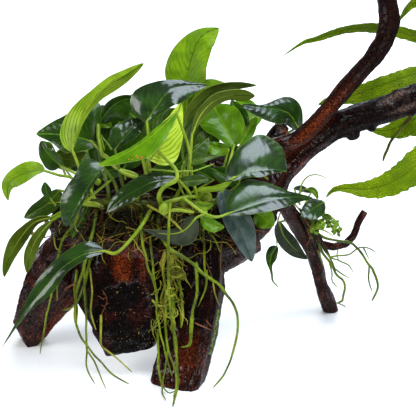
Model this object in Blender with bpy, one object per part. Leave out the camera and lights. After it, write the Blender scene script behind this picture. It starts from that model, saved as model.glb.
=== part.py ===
"""Aquarium plants on driftwood: a forked piece of root wood on three feet, with a clump of anubias on its
crown, a java fern on its long branch and a small plant with a tuft on its thin leg.

Places are written as they are seen in the catalogue view. That view is FRAME_SIDE millimetres square where
it passes through the middle of the wood, so a place is (across, down, depth): millimetres from the upper
left corner of the view, and millimetres behind the plane through the wood's middle.
"""

import math
from typing import NamedTuple

import bmesh
import bpy
from mathutils import Quaternion, Vector, noise

MM = 0.001
GAP = 0.0003

# The catalogue view: its size on the wood, how far off the eye is, and how steeply it looks down
FRAME_SIDE = 416.0
EYE_DISTANCE = 1400.0
EYE_DOWN = math.radians(20.0)
FRAME_MIDDLE_HEIGHT = 150.0

# The middle of the part's outline on the floor, in the view's ground coordinates: the part's origin
STAND_MIDDLE = (85.35, 34.99)

LOOK = Vector((0.0, math.cos(EYE_DOWN), -math.sin(EYE_DOWN)))
UP_IN_VIEW = Vector((0.0, math.sin(EYE_DOWN), math.cos(EYE_DOWN)))
RIGHT = Vector((1.0, 0.0, 0.0))

# Thickness of a modelled blade, and the size of stems, in millimetres
BLADE_THICKNESS = 1.5
STEM_RADIUS_ROOT = 2.3
STEM_RADIUS_LEAF = 1.5


class Limb(NamedTuple):
    """A stretch of wood: stations are (across, down, depth, half width, half depth). Turn is how many
    degrees its section is turned about its own line."""

    name: str
    stations: tuple
    sides: int
    rings_per_station: int
    squareness: float = 2.2
    lumps: float = 0.06
    turn: float = 0.0
    seats_on: tuple = ()


class Stem(NamedTuple):
    """A round creeping stem or root: points are (across, down, depth)."""

    name: str
    points: tuple
    radius: float
    end_radius: float
    seats_on: tuple = ()
    sides: int = 5


class Leaf(NamedTuple):
    """A blade on its stalk. The stalk runs through its points to the blade's base; roll 0 turns the upper
    side to the eye and 180 the under side. Arch bows the midrib along the upper side, as a share of the
    length, and sweep bows it sideways in millimetres. Fold is how many degrees each half rises; twist turns
    the tip."""

    name: str
    stalk: tuple
    base: tuple
    tip: tuple
    width: float
    roll: float = 0.0
    arch: float = 0.10
    sweep: float = 0.0
    fold: float = 14.0
    twist: float = 0.0
    form: str = "heart"


def seen(across, down, depth):
    """World point, in metres, of a place in the catalogue view."""
    spread = 1.0 + depth / EYE_DISTANCE
    right = (across - FRAME_SIDE / 2) * spread
    up = (FRAME_SIDE / 2 - down) * spread
    point = RIGHT * right + UP_IN_VIEW * up + LOOK * depth
    point += Vector((-STAND_MIDDLE[0], -STAND_MIDDLE[1], FRAME_MIDDLE_HEIGHT))
    return point * MM


def spread_at(depth):
    """How much larger a length is than it looks in the view, at this depth."""
    return 1.0 + depth / EYE_DISTANCE


def smooth_curve(rows, steps):
    """Rows of equal length carried through a Catmull-Rom curve, with this many steps between two rows."""
    rows = [Vector(row) for row in rows]
    padded = [2 * rows[0] - rows[1], *rows, 2 * rows[-1] - rows[-2]]
    made = []
    for i in range(1, len(padded) - 2):
        before, here, there, after = padded[i - 1 : i + 3]
        for k in range(steps):
            t = k / steps
            made.append(
                0.5
                * (
                    2 * here
                    + (there - before) * t
                    + (2 * before - 5 * here + 4 * there - after) * t**2
                    + (3 * here - before - 3 * there + after) * t**3
                )
            )
    return made + [rows[-1]]


def directions(points):
    """Unit direction of a polyline at each of its points."""
    found = []
    for i in range(len(points)):
        ahead = points[min(i + 1, len(points) - 1)]
        behind = points[max(i - 1, 0)]
        found.append((ahead - behind).normalized())
    return found


def solid_from_rings(name, rings, material):
    """One closed object from equal rings of points, with its two ends capped."""
    mesh = bpy.data.meshes.new(name)
    bm = bmesh.new()
    loops = [[bm.verts.new(point) for point in ring] for ring in rings]
    count = len(loops[0])
    for lower, upper in zip(loops, loops[1:]):
        for i in range(count):
            j = (i + 1) % count
            bm.faces.new((lower[i], lower[j], upper[j], upper[i]))
    bm.faces.new(list(reversed(loops[0])))
    bm.faces.new(loops[-1])
    bmesh.ops.triangulate(bm, faces=bm.faces[:], quad_method="BEAUTY", ngon_method="BEAUTY")
    bmesh.ops.recalc_face_normals(bm, faces=bm.faces[:])
    bm.to_mesh(mesh)
    bm.free()
    mesh.shade_smooth()
    mesh.set_sharp_from_angle(angle=math.radians(40))
    mesh.materials.append(material)
    placed = bpy.data.objects.new(name, mesh)
    bpy.context.scene.collection.objects.link(placed)
    return placed


def cut_at_floor(placed):
    """Saws a foot off level at height 0 and closes it with a flat face."""
    bm = bmesh.new()
    bm.from_mesh(placed.data)
    bmesh.ops.bisect_plane(
        bm,
        geom=bm.verts[:] + bm.edges[:] + bm.faces[:],
        plane_co=(0, 0, 0),
        plane_no=(0, 0, 1),
        clear_inner=True,
    )
    rim = [edge for edge in bm.edges if edge.is_boundary]
    bmesh.ops.holes_fill(bm, edges=rim)
    bmesh.ops.triangulate(bm, faces=bm.faces[:])
    bmesh.ops.recalc_face_normals(bm, faces=bm.faces[:])
    bm.to_mesh(placed.data)
    bm.free()


def clearance_of(placed):
    """A cutter a gap larger than a piece, for shaping what sits on it."""
    name = placed.name + "_clearance"
    found = bpy.data.objects.get(name)
    if found:
        return found
    cutter = placed.copy()
    cutter.name = name
    cutter.data = placed.data.copy()
    cutter.modifiers.clear()
    swell = cutter.modifiers.new("swell", "DISPLACE")
    swell.strength = GAP
    swell.mid_level = 0.0
    cutter.hide_render = True
    cutter.display_type = "WIRE"
    bpy.context.scene.collection.objects.link(cutter)
    return cutter


def seat(placed, neighbours):
    """Cuts a piece back so that it sits a gap away from each neighbour."""
    for name in neighbours:
        cut = placed.modifiers.new("seat_on_" + name, "BOOLEAN")
        cut.operation = "DIFFERENCE"
        cut.solver = "EXACT"
        cut.object = clearance_of(bpy.data.objects[name])


def join(placed, other):
    """Makes a second piece part of the first one's body."""
    other.hide_render = True
    other.display_type = "WIRE"
    grown = placed.modifiers.new("with_" + other.name, "BOOLEAN")
    grown.operation = "UNION"
    grown.solver = "EXACT"
    grown.object = other


def make_limb(limb, material):
    """Lofts a stretch of wood through its stations, with grown lumps."""
    rows = smooth_curve(limb.stations, limb.rings_per_station)
    centres = [seen(*row[:3]) for row in rows]
    seed = Vector((len(limb.name) * 1.7, limb.stations[0][0] * 0.013, 3.1))
    rings = []
    for row, centre, along in zip(rows, centres, directions(centres)):
        wide = LOOK.cross(along).normalized()
        deep = along.cross(wide).normalized()
        turned = Quaternion(along, math.radians(limb.turn))
        wide.rotate(turned)
        deep.rotate(turned)
        scale = spread_at(row[2]) * MM
        ring = []
        for i in range(limb.sides):
            turn = 2 * math.pi * (i + 0.5) / limb.sides
            c, s = math.cos(turn), math.sin(turn)
            power = 2.0 / limb.squareness
            out = wide * (math.copysign(abs(c) ** power, c) * row[3] * scale)
            out += deep * (math.copysign(abs(s) ** power, s) * row[4] * scale)
            swell = noise.noise(centre * 28.0 + Vector((c, s, 0)) * 0.9 + seed)
            ring.append(centre + out * (1.0 + limb.lumps * 2.0 * swell))
        rings.append(ring)
    placed = solid_from_rings(limb.name, rings, material)
    seat(placed, limb.seats_on)
    return placed


def carried_frames(points, along, face):
    """Side and face directions at each point of a line, carried along it without twist."""
    frames = []
    heading = along[0]
    face = (face - heading * face.dot(heading)).normalized()
    for ahead in along:
        face = (heading.rotation_difference(ahead) @ face).normalized()
        heading = ahead
        frames.append((face.cross(ahead).normalized(), face))
    return frames


def make_stem(stem, material):
    """A tapering round stem or root."""
    line = smooth_curve([seen(*point) for point in stem.points], 2)
    along = directions(line)
    rings = []
    for i, (point, (side, face)) in enumerate(zip(line, carried_frames(line, along, -LOOK))):
        share = i / (len(line) - 1)
        radius = (stem.radius + (stem.end_radius - stem.radius) * share) * MM
        ring = []
        for k in range(stem.sides):
            turn = 2 * math.pi * k / stem.sides
            ring.append(point + side * (math.cos(turn) * radius) + face * (math.sin(turn) * radius))
        rings.append(ring)
    placed = solid_from_rings(stem.name, rings, material)
    seat(placed, stem.seats_on)
    return placed


# Forms of blade: how its half width grows from the base, how it falls to the tip, how far the lobes at its
# base reach back as a share of its width, and where a thin tail begins
BLADE_FORMS = {
    "heart": (0.42, 0.98, 0.36, 1.0),
    "ovate": (0.60, 0.95, 0.06, 1.0),
    "oval": (0.75, 0.80, 0.0, 1.0),
    "tailed": (0.62, 0.90, 0.06, 0.74),
    "lance": (0.40, 0.55, 0.0, 1.0),
}


def half_width(form, t):
    """Half the blade's width at a share t of its length, as a share of half its greatest width."""
    rise, fall, _, tail = BLADE_FORMS[form]
    peak = rise / (rise + fall)
    greatest = peak**rise * (1 - peak) ** fall
    inner = min(t / tail, 1.0)
    body = inner**rise * (1.0 - inner) ** fall / greatest
    if tail < 1.0 and t > 0.4:
        body = max(body, 0.35 * (1.0 - t) + 0.02)
    return body


class Blade:
    """The geometry of one blade: its midrib, its frame along the midrib and its outline."""

    def __init__(self, leaf):
        self.leaf = leaf
        self.base = seen(*leaf.base)
        self.tip = seen(*leaf.tip)
        chord = self.tip - self.base
        self.length = chord.length
        self.along = chord.normalized()
        facing = (-LOOK + self.along * LOOK.dot(self.along)).normalized()
        side = facing.cross(self.along)
        roll = math.radians(leaf.roll)
        self.face = facing * math.cos(roll) + side * math.sin(roll)
        self.side = self.face.cross(self.along)
        bow = self.face * leaf.arch * self.length + self.side * leaf.sweep * MM
        self.knee = (self.base + self.tip) / 2 + bow * 2

    def midrib(self, t):
        """Point of the midrib at a share t of its length."""
        return self.base * (1 - t) ** 2 + self.knee * 2 * t * (1 - t) + self.tip * t**2

    def frame(self, t):
        """Direction of the midrib, and the upper side's normal and the leaf's left there."""
        along = ((self.knee - self.base) * (1 - t) + (self.tip - self.knee) * t).normalized()
        twist = math.radians(self.leaf.twist) * t
        face = self.face * math.cos(twist) + self.side * math.sin(twist)
        face = (face - along * face.dot(along)).normalized()
        return along, face, face.cross(along)

    def point(self, t, across, lift=0.0):
        """Point of the blade at a share t along it and across from -1 to 1, lifted off its middle surface."""
        along, face, left = self.frame(t)
        half = half_width(self.leaf.form, t) * self.leaf.width * MM / 2
        fold = math.radians(self.leaf.fold)
        place = self.midrib(t) + left * (half * across * math.cos(fold))
        place += face * (half * abs(across) * math.sin(fold) + lift)
        reach = BLADE_FORMS[self.leaf.form][2] * self.leaf.width * MM
        place -= along * (reach * abs(across) ** 1.5 * (1.0 - t) ** 4)
        return place


BLADE_SHARES = (0.05, 0.16, 0.32, 0.52, 0.72, 0.88, 0.98)


def stalk_rings(leaf, blade):
    """Rings of six points along the stalk, carried without twist into the blade's own frame."""
    points = [seen(*p) for p in (*leaf.stalk, leaf.base)]
    along = directions(points)
    start, face, _ = blade.frame(0.0)
    along[-1] = (along[-1] + start).normalized()
    points.reverse()
    along.reverse()
    rings = []
    for i, (point, (left, face)) in enumerate(zip(points, carried_frames(points, along, face))):
        share = i / (len(points) - 1)
        radius = (STEM_RADIUS_LEAF + (STEM_RADIUS_ROOT - STEM_RADIUS_LEAF) * share) * MM
        ring = []
        for angle in (30, 90, 150, 210, 270, 330):
            turn = math.radians(angle)
            ring.append(point + left * (math.cos(turn) * radius) + face * (math.sin(turn) * radius))
        rings.append(ring)
    return list(reversed(rings))


def make_leaf(leaf, material):
    """A stalk that widens into a folded blade, as one closed solid."""
    blade = Blade(leaf)
    rings = stalk_rings(leaf, blade)
    half = BLADE_THICKNESS / 2 * MM
    for t in BLADE_SHARES:
        thin = half * (1.0 - 0.5 * t)
        upper = [blade.point(t, across, thin) for across in (1, 0, -1)]
        lower = [blade.point(t, across, -thin) for across in (-1, 0, 1)]
        rings.append(upper + lower)
    return solid_from_rings(leaf.name, rings, material)


def make_tuft(name, middle, size, material, seats_on):
    """A crinkled tuft: a ball of five-angled bumps, squashed to the size given."""
    bm = bmesh.new()
    bmesh.ops.create_icosphere(bm, subdivisions=2, radius=1.0)
    for vert in bm.verts:
        bump = 1.0 + 0.35 * noise.noise(vert.co * 2.4 + Vector((7.0, 1.0, 4.0)))
        vert.co = vert.co * bump
    centre = seen(*middle)
    for vert in bm.verts:
        co = vert.co
        place = RIGHT * co.x * size[0] + UP_IN_VIEW * co.z * size[1] + LOOK * co.y * size[2]
        vert.co = centre + place * MM
    mesh = bpy.data.meshes.new(name)
    bm.to_mesh(mesh)
    bm.free()
    mesh.materials.append(material)
    placed = bpy.data.objects.new(name, mesh)
    bpy.context.scene.collection.objects.link(placed)
    seat(placed, seats_on)
    return placed


def principled(name, colour, roughness):
    """A plain material of one colour, given as linear red, green and blue."""
    material = bpy.data.materials.new(name)
    material.use_nodes = True
    shader = material.node_tree.nodes["Principled BSDF"]
    shader.inputs["Base Color"].default_value = (*colour, 1.0)
    shader.inputs["Roughness"].default_value = roughness
    return material


# Wood, from the crown outwards
CROWN = Limb(
    "root_crown",
    (
        (56, 222, 12, 15, 15),
        (78, 225, 6, 28, 26),
        (110, 228, -2, 37, 32),
        (150, 233, -4, 40, 34),
        (190, 237, -2, 40, 34),
        (222, 236, 6, 34, 30),
        (246, 226, 14, 29, 26),
    ),
    12,
    2,
    squareness=2.6,
    lumps=0.07,
)
LIMBS = (
    Limb(
        "crown_ridge",
        (
            (84, 214, 22, 16, 14),
            (112, 203, 24, 24, 17),
            (150, 192, 25, 30, 19),
            (192, 184, 26, 33, 20),
            (228, 184, 26, 30, 19),
            (256, 188, 26, 22, 16),
        ),
        10,
        1,
        squareness=2.4,
        seats_on=("root_crown",),
    ),
    Limb(
        "left_root",
        (
            (94, 236, 4, 30, 22),
            (67, 269, 18, 34, 20),
            (44, 300, 34, 31, 18),
            (33, 321, 46, 23, 16),
            (33, 338, 56, 14, 14),
            (31, 354, 65, 12, 13),
        ),
        12,
        1,
        squareness=3.6,
        lumps=0.04,
        turn=-14,
        seats_on=("root_crown", "crown_ridge"),
    ),
    Limb(
        "middle_root",
        (
            (126, 250, -8, 34, 22),
            (125, 276, -14, 36, 22),
            (125, 300, -18, 36, 18),
            (126, 328, -20, 33, 17),
            (131, 351, -20, 25, 14),
        ),
        12,
        1,
        squareness=4.0,
        lumps=0.04,
        seats_on=("root_crown", "left_root"),
    ),
    Limb(
        "front_root",
        (
            (193, 250, -10, 30, 19),
            (192, 290, -18, 31, 17),
            (189, 325, -23, 29, 16),
            (184, 358, -26, 26, 16),
            (178, 380, -28, 26, 16),
            (174, 402, -30, 27, 16),
        ),
        12,
        1,
        squareness=4.0,
        lumps=0.04,
        turn=22,
        seats_on=("root_crown", "middle_root"),
    ),
    Limb(
        "lower_branch",
        (
            (232, 234, 10, 24, 22),
            (252, 217, 20, 24, 21),
            (267, 195, 27, 18, 17),
            (280, 174, 33, 14, 14),
            (303, 150, 38, 13, 13),
            (330, 128, 42, 15, 14),
            (352, 119, 45, 14, 14),
            (385, 110, 48, 14, 13),
            (416, 98, 50, 13, 12),
            (450, 88, 50, 12, 11),
            (490, 76, 48, 10, 10),
            (528, 60, 42, 7, 7),
        ),
        10,
        1,
        lumps=0.05,
        seats_on=("root_crown", "crown_ridge"),
    ),
    Limb(
        "right_root",
        (
            (280, 198, 26, 8.6, 9),
            (292, 216, 42, 8.2, 8.6),
            (304, 237, 63, 7.5, 8.2),
            (313, 252, 77, 7.2, 8),
            (317.5, 268, 92, 7, 8),
            (321, 284, 107, 6.8, 7.6),
            (327, 299, 121, 7.5, 8),
            (331, 312, 133, 7.5, 8),
            (334, 322, 142, 7.5, 8),
        ),
        8,
        1,
        lumps=0.05,
        seats_on=("lower_branch",),
    ),
    Limb(
        "root_twig",
        (
            (310, 244, 72, 4.6, 4.6),
            (320, 244, 78, 4.6, 4.6),
            (333, 247, 82, 4.2, 4.2),
            (346, 244, 85, 4.2, 4.2),
            (354, 235, 86, 4.0, 4.0),
            (358, 223, 86, 3.8, 3.8),
            (365, 211, 86, 4.0, 4.0),
        ),
        6,
        1,
        lumps=0.06,
        seats_on=("right_root",),
    ),
    Limb(
        "upper_branch",
        (
            (262, 190, 22, 9, 9),
            (261, 166, 10, 9, 9),
            (270, 148, 6, 8, 8),
            (281, 144, 6, 8, 8),
            (294, 141, 7, 8.4, 8),
            (307, 132, 8, 8.4, 8),
            (326, 112, 9, 8.2, 8),
            (345, 89, 10, 8.6, 8.5),
            (361, 71, 11, 8.8, 9),
            (373, 58, 12, 9.2, 9),
            (384, 41, 13, 10.3, 10),
            (390, 20, 14, 11, 10.5),
            (387, 0, 14, 9.8, 10),
            (381, -22, 13, 9, 9),
            (379, -46, 12, 8, 8),
            (386, -68, 12, 6.5, 6.5),
        ),
        9,
        1,
        lumps=0.04,
        seats_on=("lower_branch", "crown_ridge"),
    ),
)
BROKEN_STUB = Limb(
    "broken_stub",
    (
        (262, 152, 12, 7, 7),
        (271, 141, 22, 8, 8),
        (279, 131, 30, 8.5, 8.5),
        (283, 126, 34, 7.5, 7.5),
    ),
    7,
    1,
    lumps=0.10,
)

RHIZOMES = (
    Stem(
        "front_rhizome",
        (
            (70, 204, -17),
            (95, 204, -28),
            (120, 205, -33),
            (150, 206, -35),
            (180, 207, -32),
            (205, 204, -22),
            (228, 203, -12),
        ),
        5.6,
        4.6,
        ("root_crown", "crown_ridge"),
        6,
    ),
    Stem(
        "back_rhizome",
        ((88, 186, 30), (118, 171, 29), (152, 158, 31), (192, 149, 31), (232, 152, 31)),
        5.0,
        4.4,
        ("root_crown", "crown_ridge"),
        6,
    ),
    Stem(
        "small_rhizome",
        ((303, 211, 41), (310.5, 226, 50), (318, 239, 58)),
        4.0,
        3.4,
        ("right_root", "root_twig"),
        6,
    ),
    Stem(
        "fern_rhizome",
        ((446, 78, 36), (468, 71, 36), (494, 63, 36)),
        4.2,
        3.6,
        ("lower_branch",),
        6,
    ),
)

# Roots hang free of the wood and stop just short of the floor
ROOTS = (
    Stem(
        "long_right_root",
        (
            (158, 206, -34),
            (159, 230, -46),
            (170, 248, -50),
            (186, 258, -52),
            (205, 274, -52),
            (222, 288, -50),
            (235, 306, -46),
            (238, 328, -46),
            (232, 355, -46),
            (225, 373, -50),
            (213, 388, -54),
        ),
        2.3,
        1.2,
        ("front_rhizome",),
    ),
    Stem(
        "left_thick_root",
        (
            (98, 204, -29),
            (92, 236, -47),
            (84, 266, -46),
            (75, 300, -46),
            (75, 322, -46),
            (84, 342, -48),
            (97, 358, -52),
            (113, 375, -58),
            (129, 384, -60),
        ),
        1.9,
        1.2,
        ("front_rhizome",),
    ),
    Stem(
        "left_pale_root",
        (
            (80, 204, -22),
            (75, 222, -52),
            (61, 242, -50),
            (54, 276, -44),
            (50, 300, -42),
            (44, 330, -42),
            (40, 354, -42),
        ),
        1.9,
        1.0,
        ("front_rhizome",),
    ),
    Stem(
        "middle_root_strand",
        (
            (143, 206, -35),
            (141, 228, -50),
            (147, 262, -56),
            (155, 290, -60),
            (158, 320, -64),
            (164, 348, -66),
            (172, 376, -68),
        ),
        1.7,
        0.9,
        ("front_rhizome",),
    ),
    Stem(
        "front_root_strand",
        (
            (170, 208, -33),
            (170, 204, -60),
            (169, 224, -75),
            (168, 275, -71),
            (170, 310, -68),
            (175, 345, -70),
            (178, 382, -74),
            (174, 404, -82),
        ),
        1.9,
        1.1,
        ("front_rhizome",),
    ),
)
SMALL_PLANT_ROOTS = (
    Stem(
        "tuft_root_long",
        (
            (313, 230, 52),
            (323, 237, 56),
            (340, 241, 62),
            (352, 244, 65),
            (364, 256, 67),
            (371, 268, 69),
            (378, 284, 72),
            (372, 301, 74),
        ),
        1.5,
        0.9,
    ),
    Stem(
        "tuft_root_short",
        (
            (317, 237, 57),
            (322, 252, 62),
            (331, 265, 64),
            (338, 277, 68),
            (345, 288, 76),
            (337, 303, 86),
        ),
        1.3,
        0.8,
    ),
)

TUFT_MIDDLE = (328, 217, 46)
TUFT_HALF_SIZE = (13, 9, 9)

# Anubias leaves, the clump's front first
ANUBIAS_LEAVES = (
    Leaf(
        "anubias_leaf_01",
        ((186, 150, 31), (188, 120, 24)),
        (187, 84, 10),
        (220, 29, 14),
        width=52, roll=16, arch=0.04, sweep=9, fold=10,
    ),
    Leaf(
        "anubias_leaf_02",
        ((135, 206, -34), (144, 175, -46)),
        (147, 121, -46),
        (207, 85, -26),
        width=40, roll=8, arch=0.06, sweep=11, fold=12,
    ),
    Leaf(
        "anubias_leaf_03",
        ((88, 204, -25), (83, 178, -40)),
        (71, 150, -46),
        (145, 63, -36),
        width=30, roll=205, arch=0.04, sweep=4, fold=30, form="ovate",
    ),
    Leaf(
        "anubias_leaf_04",
        ((118, 205, -32), (113, 172, -36)),
        (91, 141, -14),
        (36, 134, -6),
        width=50, roll=-14, arch=0.06, sweep=-13, fold=12, form="ovate",
    ),
    Leaf(
        "anubias_leaf_05",
        ((97, 204, -28), (84, 182, -28)),
        (60, 166, -6),
        (41, 141, -2),
        width=22, roll=20, arch=0.08, fold=12, form="ovate",
    ),
    Leaf(
        "anubias_leaf_06",
        ((82, 204, -22), (74, 180, -26)),
        (42, 170, -26),
        (8, 202, -26),
        width=23, roll=-12, sweep=-8, fold=16, form="ovate",
    ),
    Leaf(
        "anubias_leaf_07",
        ((73, 204, -18), (68, 194, -16)),
        (61, 186, -10),
        (24, 219, -8),
        width=23, roll=10, arch=0.08, fold=12, form="ovate",
    ),
    Leaf(
        "anubias_leaf_08",
        ((76, 205, -21), (62, 210, -26)),
        (48, 216, -28),
        (4, 277, -34),
        width=24, roll=-114, arch=0.16, fold=12, form="oval",
    ),
    Leaf(
        "anubias_leaf_09",
        ((79, 205, -23), (68, 212, -29)),
        (50, 221, -34),
        (27, 274, -39),
        width=21, roll=-128, form="oval",
    ),
    Leaf(
        "anubias_leaf_10",
        ((122, 206, -34), (114, 182, -52)),
        (103, 167, -58),
        (66, 228, -62),
        width=28, roll=8, sweep=-2, fold=16, form="ovate",
    ),
    Leaf(
        "anubias_leaf_11",
        ((152, 207, -36), (140, 228, -62), (118, 253, -64)),
        (97, 252, -62),
        (2, 347, -62),
        width=28, roll=-10, arch=0.06, sweep=-13, form="tailed",
    ),
    Leaf(
        "anubias_leaf_12",
        ((172, 206, -34), (190, 160, -56)),
        (177, 111, -72),
        (101, 165, -80),
        width=34, roll=-40, arch=0.08, fold=12, form="oval",
    ),
    Leaf(
        "anubias_leaf_13",
        ((163, 208, -36), (159, 196, -66), (169, 185, -76), (178, 175, -76)),
        (160, 151, -66),
        (180, 112, -54),
        width=36, roll=185, arch=0.06, fold=12,
    ),
    Leaf(
        "anubias_leaf_14",
        ((128, 206, -34), (121, 178, -38)),
        (115, 149, -38),
        (150, 120, -30),
        width=28, roll=5, form="ovate",
    ),
    Leaf(
        "anubias_leaf_15",
        ((108, 205, -31), (108, 188, -34), (106, 158, -12)),
        (101, 123, -4),
        (141, 102, -10),
        width=30, arch=0.08, sweep=6, fold=12, form="ovate",
    ),
    Leaf(
        "anubias_leaf_16",
        ((202, 149, 31), (201, 128, 30)),
        (199, 112, 26),
        (222, 76, 30),
        width=32, arch=0.08, fold=12, form="ovate",
    ),
    Leaf(
        "anubias_leaf_17",
        ((190, 206, -28), (183, 160, -18)),
        (184, 124, -12),
        (257, 84, -2),
        width=24, roll=112, arch=0.2, fold=10, form="ovate",
    ),
    Leaf(
        "anubias_leaf_18",
        ((199, 205, -25), (193, 168, -24)),
        (191, 134, -24),
        (255, 96, -12),
        width=26, roll=122, arch=0.16, fold=12, form="ovate",
    ),
    Leaf(
        "anubias_leaf_19",
        ((216, 204, -16), (227, 172, -24)),
        (236, 146, -4),
        (213, 105, 18),
        width=42, arch=0.06, fold=10, form="ovate",
    ),
    Leaf(
        "anubias_leaf_20",
        ((232, 152, 31), (256, 139, 50), (284, 132, 54)),
        (299, 126, 28),
        (237, 100, -4),
        width=32, roll=-14, arch=0.08, sweep=-7, form="ovate",
    ),
    Leaf(
        "anubias_leaf_21",
        ((204, 204, -22), (214, 189, -54)),
        (233, 175, -58),
        (289, 170, -36),
        width=54, roll=32, arch=0.06, sweep=10, fold=18,
    ),
    Leaf(
        "anubias_leaf_22",
        ((182, 206, -33), (184, 199, -60), (202, 212, -72), (216, 216, -72)),
        (229, 213, -66),
        (313, 198, -34),
        width=42, roll=22, arch=0.08, sweep=8,
    ),
    Leaf(
        "anubias_leaf_23",
        ((309, 223, 48), (322, 212, 60)),
        (323, 202, 48),
        (300, 216, 24),
        width=19, roll=-20, arch=0.12, form="ovate",
    ),
    Leaf(
        "anubias_leaf_24",
        ((313, 231, 54), (300, 218, 84)),
        (279, 221, 90),
        (308, 259, 116),
        width=20, roll=165, arch=0.06, fold=10, form="ovate",
    ),
    Leaf(
        "anubias_leaf_25",
        ((305, 216, 43), (288, 200, 88), (277, 222, 112)),
        (278, 243, 114),
        (278, 288, 116),
        width=14, arch=0.05, sweep=-3, form="tailed",
    ),
    Leaf(
        "anubias_leaf_26",
        ((219, 203, -16), (222, 197, -31)),
        (224, 190, -37),
        (253, 262, -32),
        width=30, roll=10, arch=0.08, fold=12, form="ovate",
    ),
    Leaf(
        "anubias_leaf_27",
        ((198, 205, -26), (210, 215, -48)),
        (198, 222, -56),
        (145, 231, -60),
        width=28, roll=170, arch=0.06, sweep=5, fold=10, form="ovate",
    ),
    Leaf(
        "anubias_leaf_28",
        ((187, 206, -30), (187, 192, -48)),
        (171, 180, -54),
        (107, 214, -64),
        width=27, roll=-24, arch=0.08, sweep=-4, form="ovate",
    ),
    Leaf(
        "anubias_leaf_29",
        ((140, 163, 30), (140, 140, 44)),
        (138, 120, 62),
        (120, 108, 112),
        width=42, roll=-160, fold=12,
    ),
    Leaf(
        "anubias_leaf_30",
        ((110, 175, 29), (100, 158, 48)),
        (90, 150, 62),
        (58, 168, 104),
        width=38, roll=-150, arch=0.12, fold=12, form="ovate",
    ),
    Leaf(
        "anubias_leaf_31",
        ((214, 150, 31), (222, 130, 48)),
        (228, 122, 62),
        (262, 118, 116),
        width=40, roll=165, arch=0.12, fold=12,
    ),
    Leaf(
        "anubias_leaf_32",
        ((168, 154, 31), (172, 150, 56)),
        (176, 156, 70),
        (192, 196, 112),
        width=40, roll=180, arch=0.12, fold=12, form="ovate",
    ),
)

FERN_FRONDS = (
    Leaf(
        "fern_frond_1",
        ((462, 73, 37), (455, 62, 50)),
        (444, 54, 56),
        (282, 57, 54),
        width=26, roll=-58, arch=0.15, fold=10, form="lance",
    ),
    Leaf(
        "fern_frond_2",
        ((476, 69, 37), (482, 50, 46)),
        (478, 34, 52),
        (396, 20, 46),
        width=22, roll=-66, arch=0.46, fold=10, form="lance",
    ),
    Leaf(
        "fern_frond_3",
        ((456, 75, 37), (452, 66, 60)),
        (444, 70, 80),
        (318, 105, 86),
        width=27, roll=-6, arch=0.06, fold=10, form="lance",
    ),
    Leaf(
        "fern_frond_4",
        ((468, 71, 37), (473, 58, 66), (467, 84, 94)),
        (454, 106, 98),
        (369, 131, 96),
        width=26, roll=10, arch=0.05, fold=10, form="lance",
    ),
    Leaf(
        "fern_frond_5",
        ((452, 77, 37), (458, 98, 24)),
        (452, 116, 24),
        (325, 198, 30),
        width=32, roll=-8, arch=0.04, sweep=22, fold=10, form="lance",
    ),
    Leaf(
        "fern_frond_6",
        ((489, 65, 36), (492, 50, 32)),
        (496, 36, 30),
        (548, -38, 20),
        width=24, roll=10, fold=10, form="lance",
    ),
    Leaf(
        "fern_frond_7",
        ((486, 65, 36), (497, 68, 22)),
        (506, 74, 14),
        (572, 108, -24),
        width=26, roll=20, arch=0.12, fold=10, form="lance",
    ),
    Leaf(
        "fern_frond_8",
        ((483, 67, 37), (486, 46, 64)),
        (490, 32, 80),
        (524, 22, 150),
        width=24, roll=20, arch=0.12, fold=10, form="lance",
    ),
    Leaf(
        "fern_frond_9",
        ((492, 63, 37), (516, 76, 28)),
        (524, 92, 34),
        (562, 164, 70),
        width=26, roll=20, fold=10, form="lance",
    ),
)

RHIZOME_OF = {"anubias": "front_rhizome", "fern": "fern_rhizome"}
BACK_LEAVES = tuple(f"anubias_leaf_{number:02d}" for number in (1, 16, 20, 29, 30, 31, 32))
SMALL_PLANT_LEAVES = ("anubias_leaf_23", "anubias_leaf_24", "anubias_leaf_25")


def rhizome_of(name):
    """The creeping stem that a leaf grows from."""
    if name in BACK_LEAVES:
        return "back_rhizome"
    if name in SMALL_PLANT_LEAVES:
        return "small_rhizome"
    return RHIZOME_OF[name.split("_")[0]]


def main():
    """Clears the scene and builds every piece."""
    for old in list(bpy.data.objects):
        bpy.data.objects.remove(old)
    wood = principled("wet root wood", (0.045, 0.014, 0.008), 0.45)
    stem_green = principled("green stem", (0.23, 0.34, 0.03), 0.45)
    root_green = principled("water root", (0.17, 0.27, 0.03), 0.5)
    leaf_green = principled("anubias leaf", (0.03, 0.13, 0.008), 0.3)
    fern_green = principled("java fern frond", (0.12, 0.30, 0.008), 0.4)
    make_limb(CROWN, wood)
    for limb in LIMBS:
        placed = make_limb(limb, wood)
        if limb.name in ("left_root", "front_root", "right_root"):
            cut_at_floor(placed)
    join(bpy.data.objects["upper_branch"], make_limb(BROKEN_STUB, wood))
    for stem in RHIZOMES:
        make_stem(stem, stem_green)
    for root in ROOTS:
        make_stem(root, root_green)
    for root in SMALL_PLANT_ROOTS:
        join(bpy.data.objects["small_rhizome"], make_stem(root, root_green))
    for leaf in ANUBIAS_LEAVES:
        seat(make_leaf(leaf, leaf_green), (rhizome_of(leaf.name),))
    for frond in FERN_FRONDS:
        seat(make_leaf(frond, fern_green), (rhizome_of(frond.name),))
    make_tuft("crinkled_tuft", TUFT_MIDDLE, TUFT_HALF_SIZE, fern_green, ("small_rhizome", "root_twig"))


main()
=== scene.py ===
"""Aquarium plants on driftwood, dressed for their catalogue view.

A forked piece of wet root wood stands on three feet. A clump of anubias grows on its crown, a java fern on
its long branch, and a small anubias with a crinkled tuft on its thin leg. Places are written as they are seen
in the catalogue view: (across, down, depth), in millimetres at the middle of the wood.
"""

import itertools
import logging
import math
import random
from dataclasses import dataclass
from enum import Enum
from functools import partial
from typing import Any, Callable, Iterable, NamedTuple, Sequence

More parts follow.
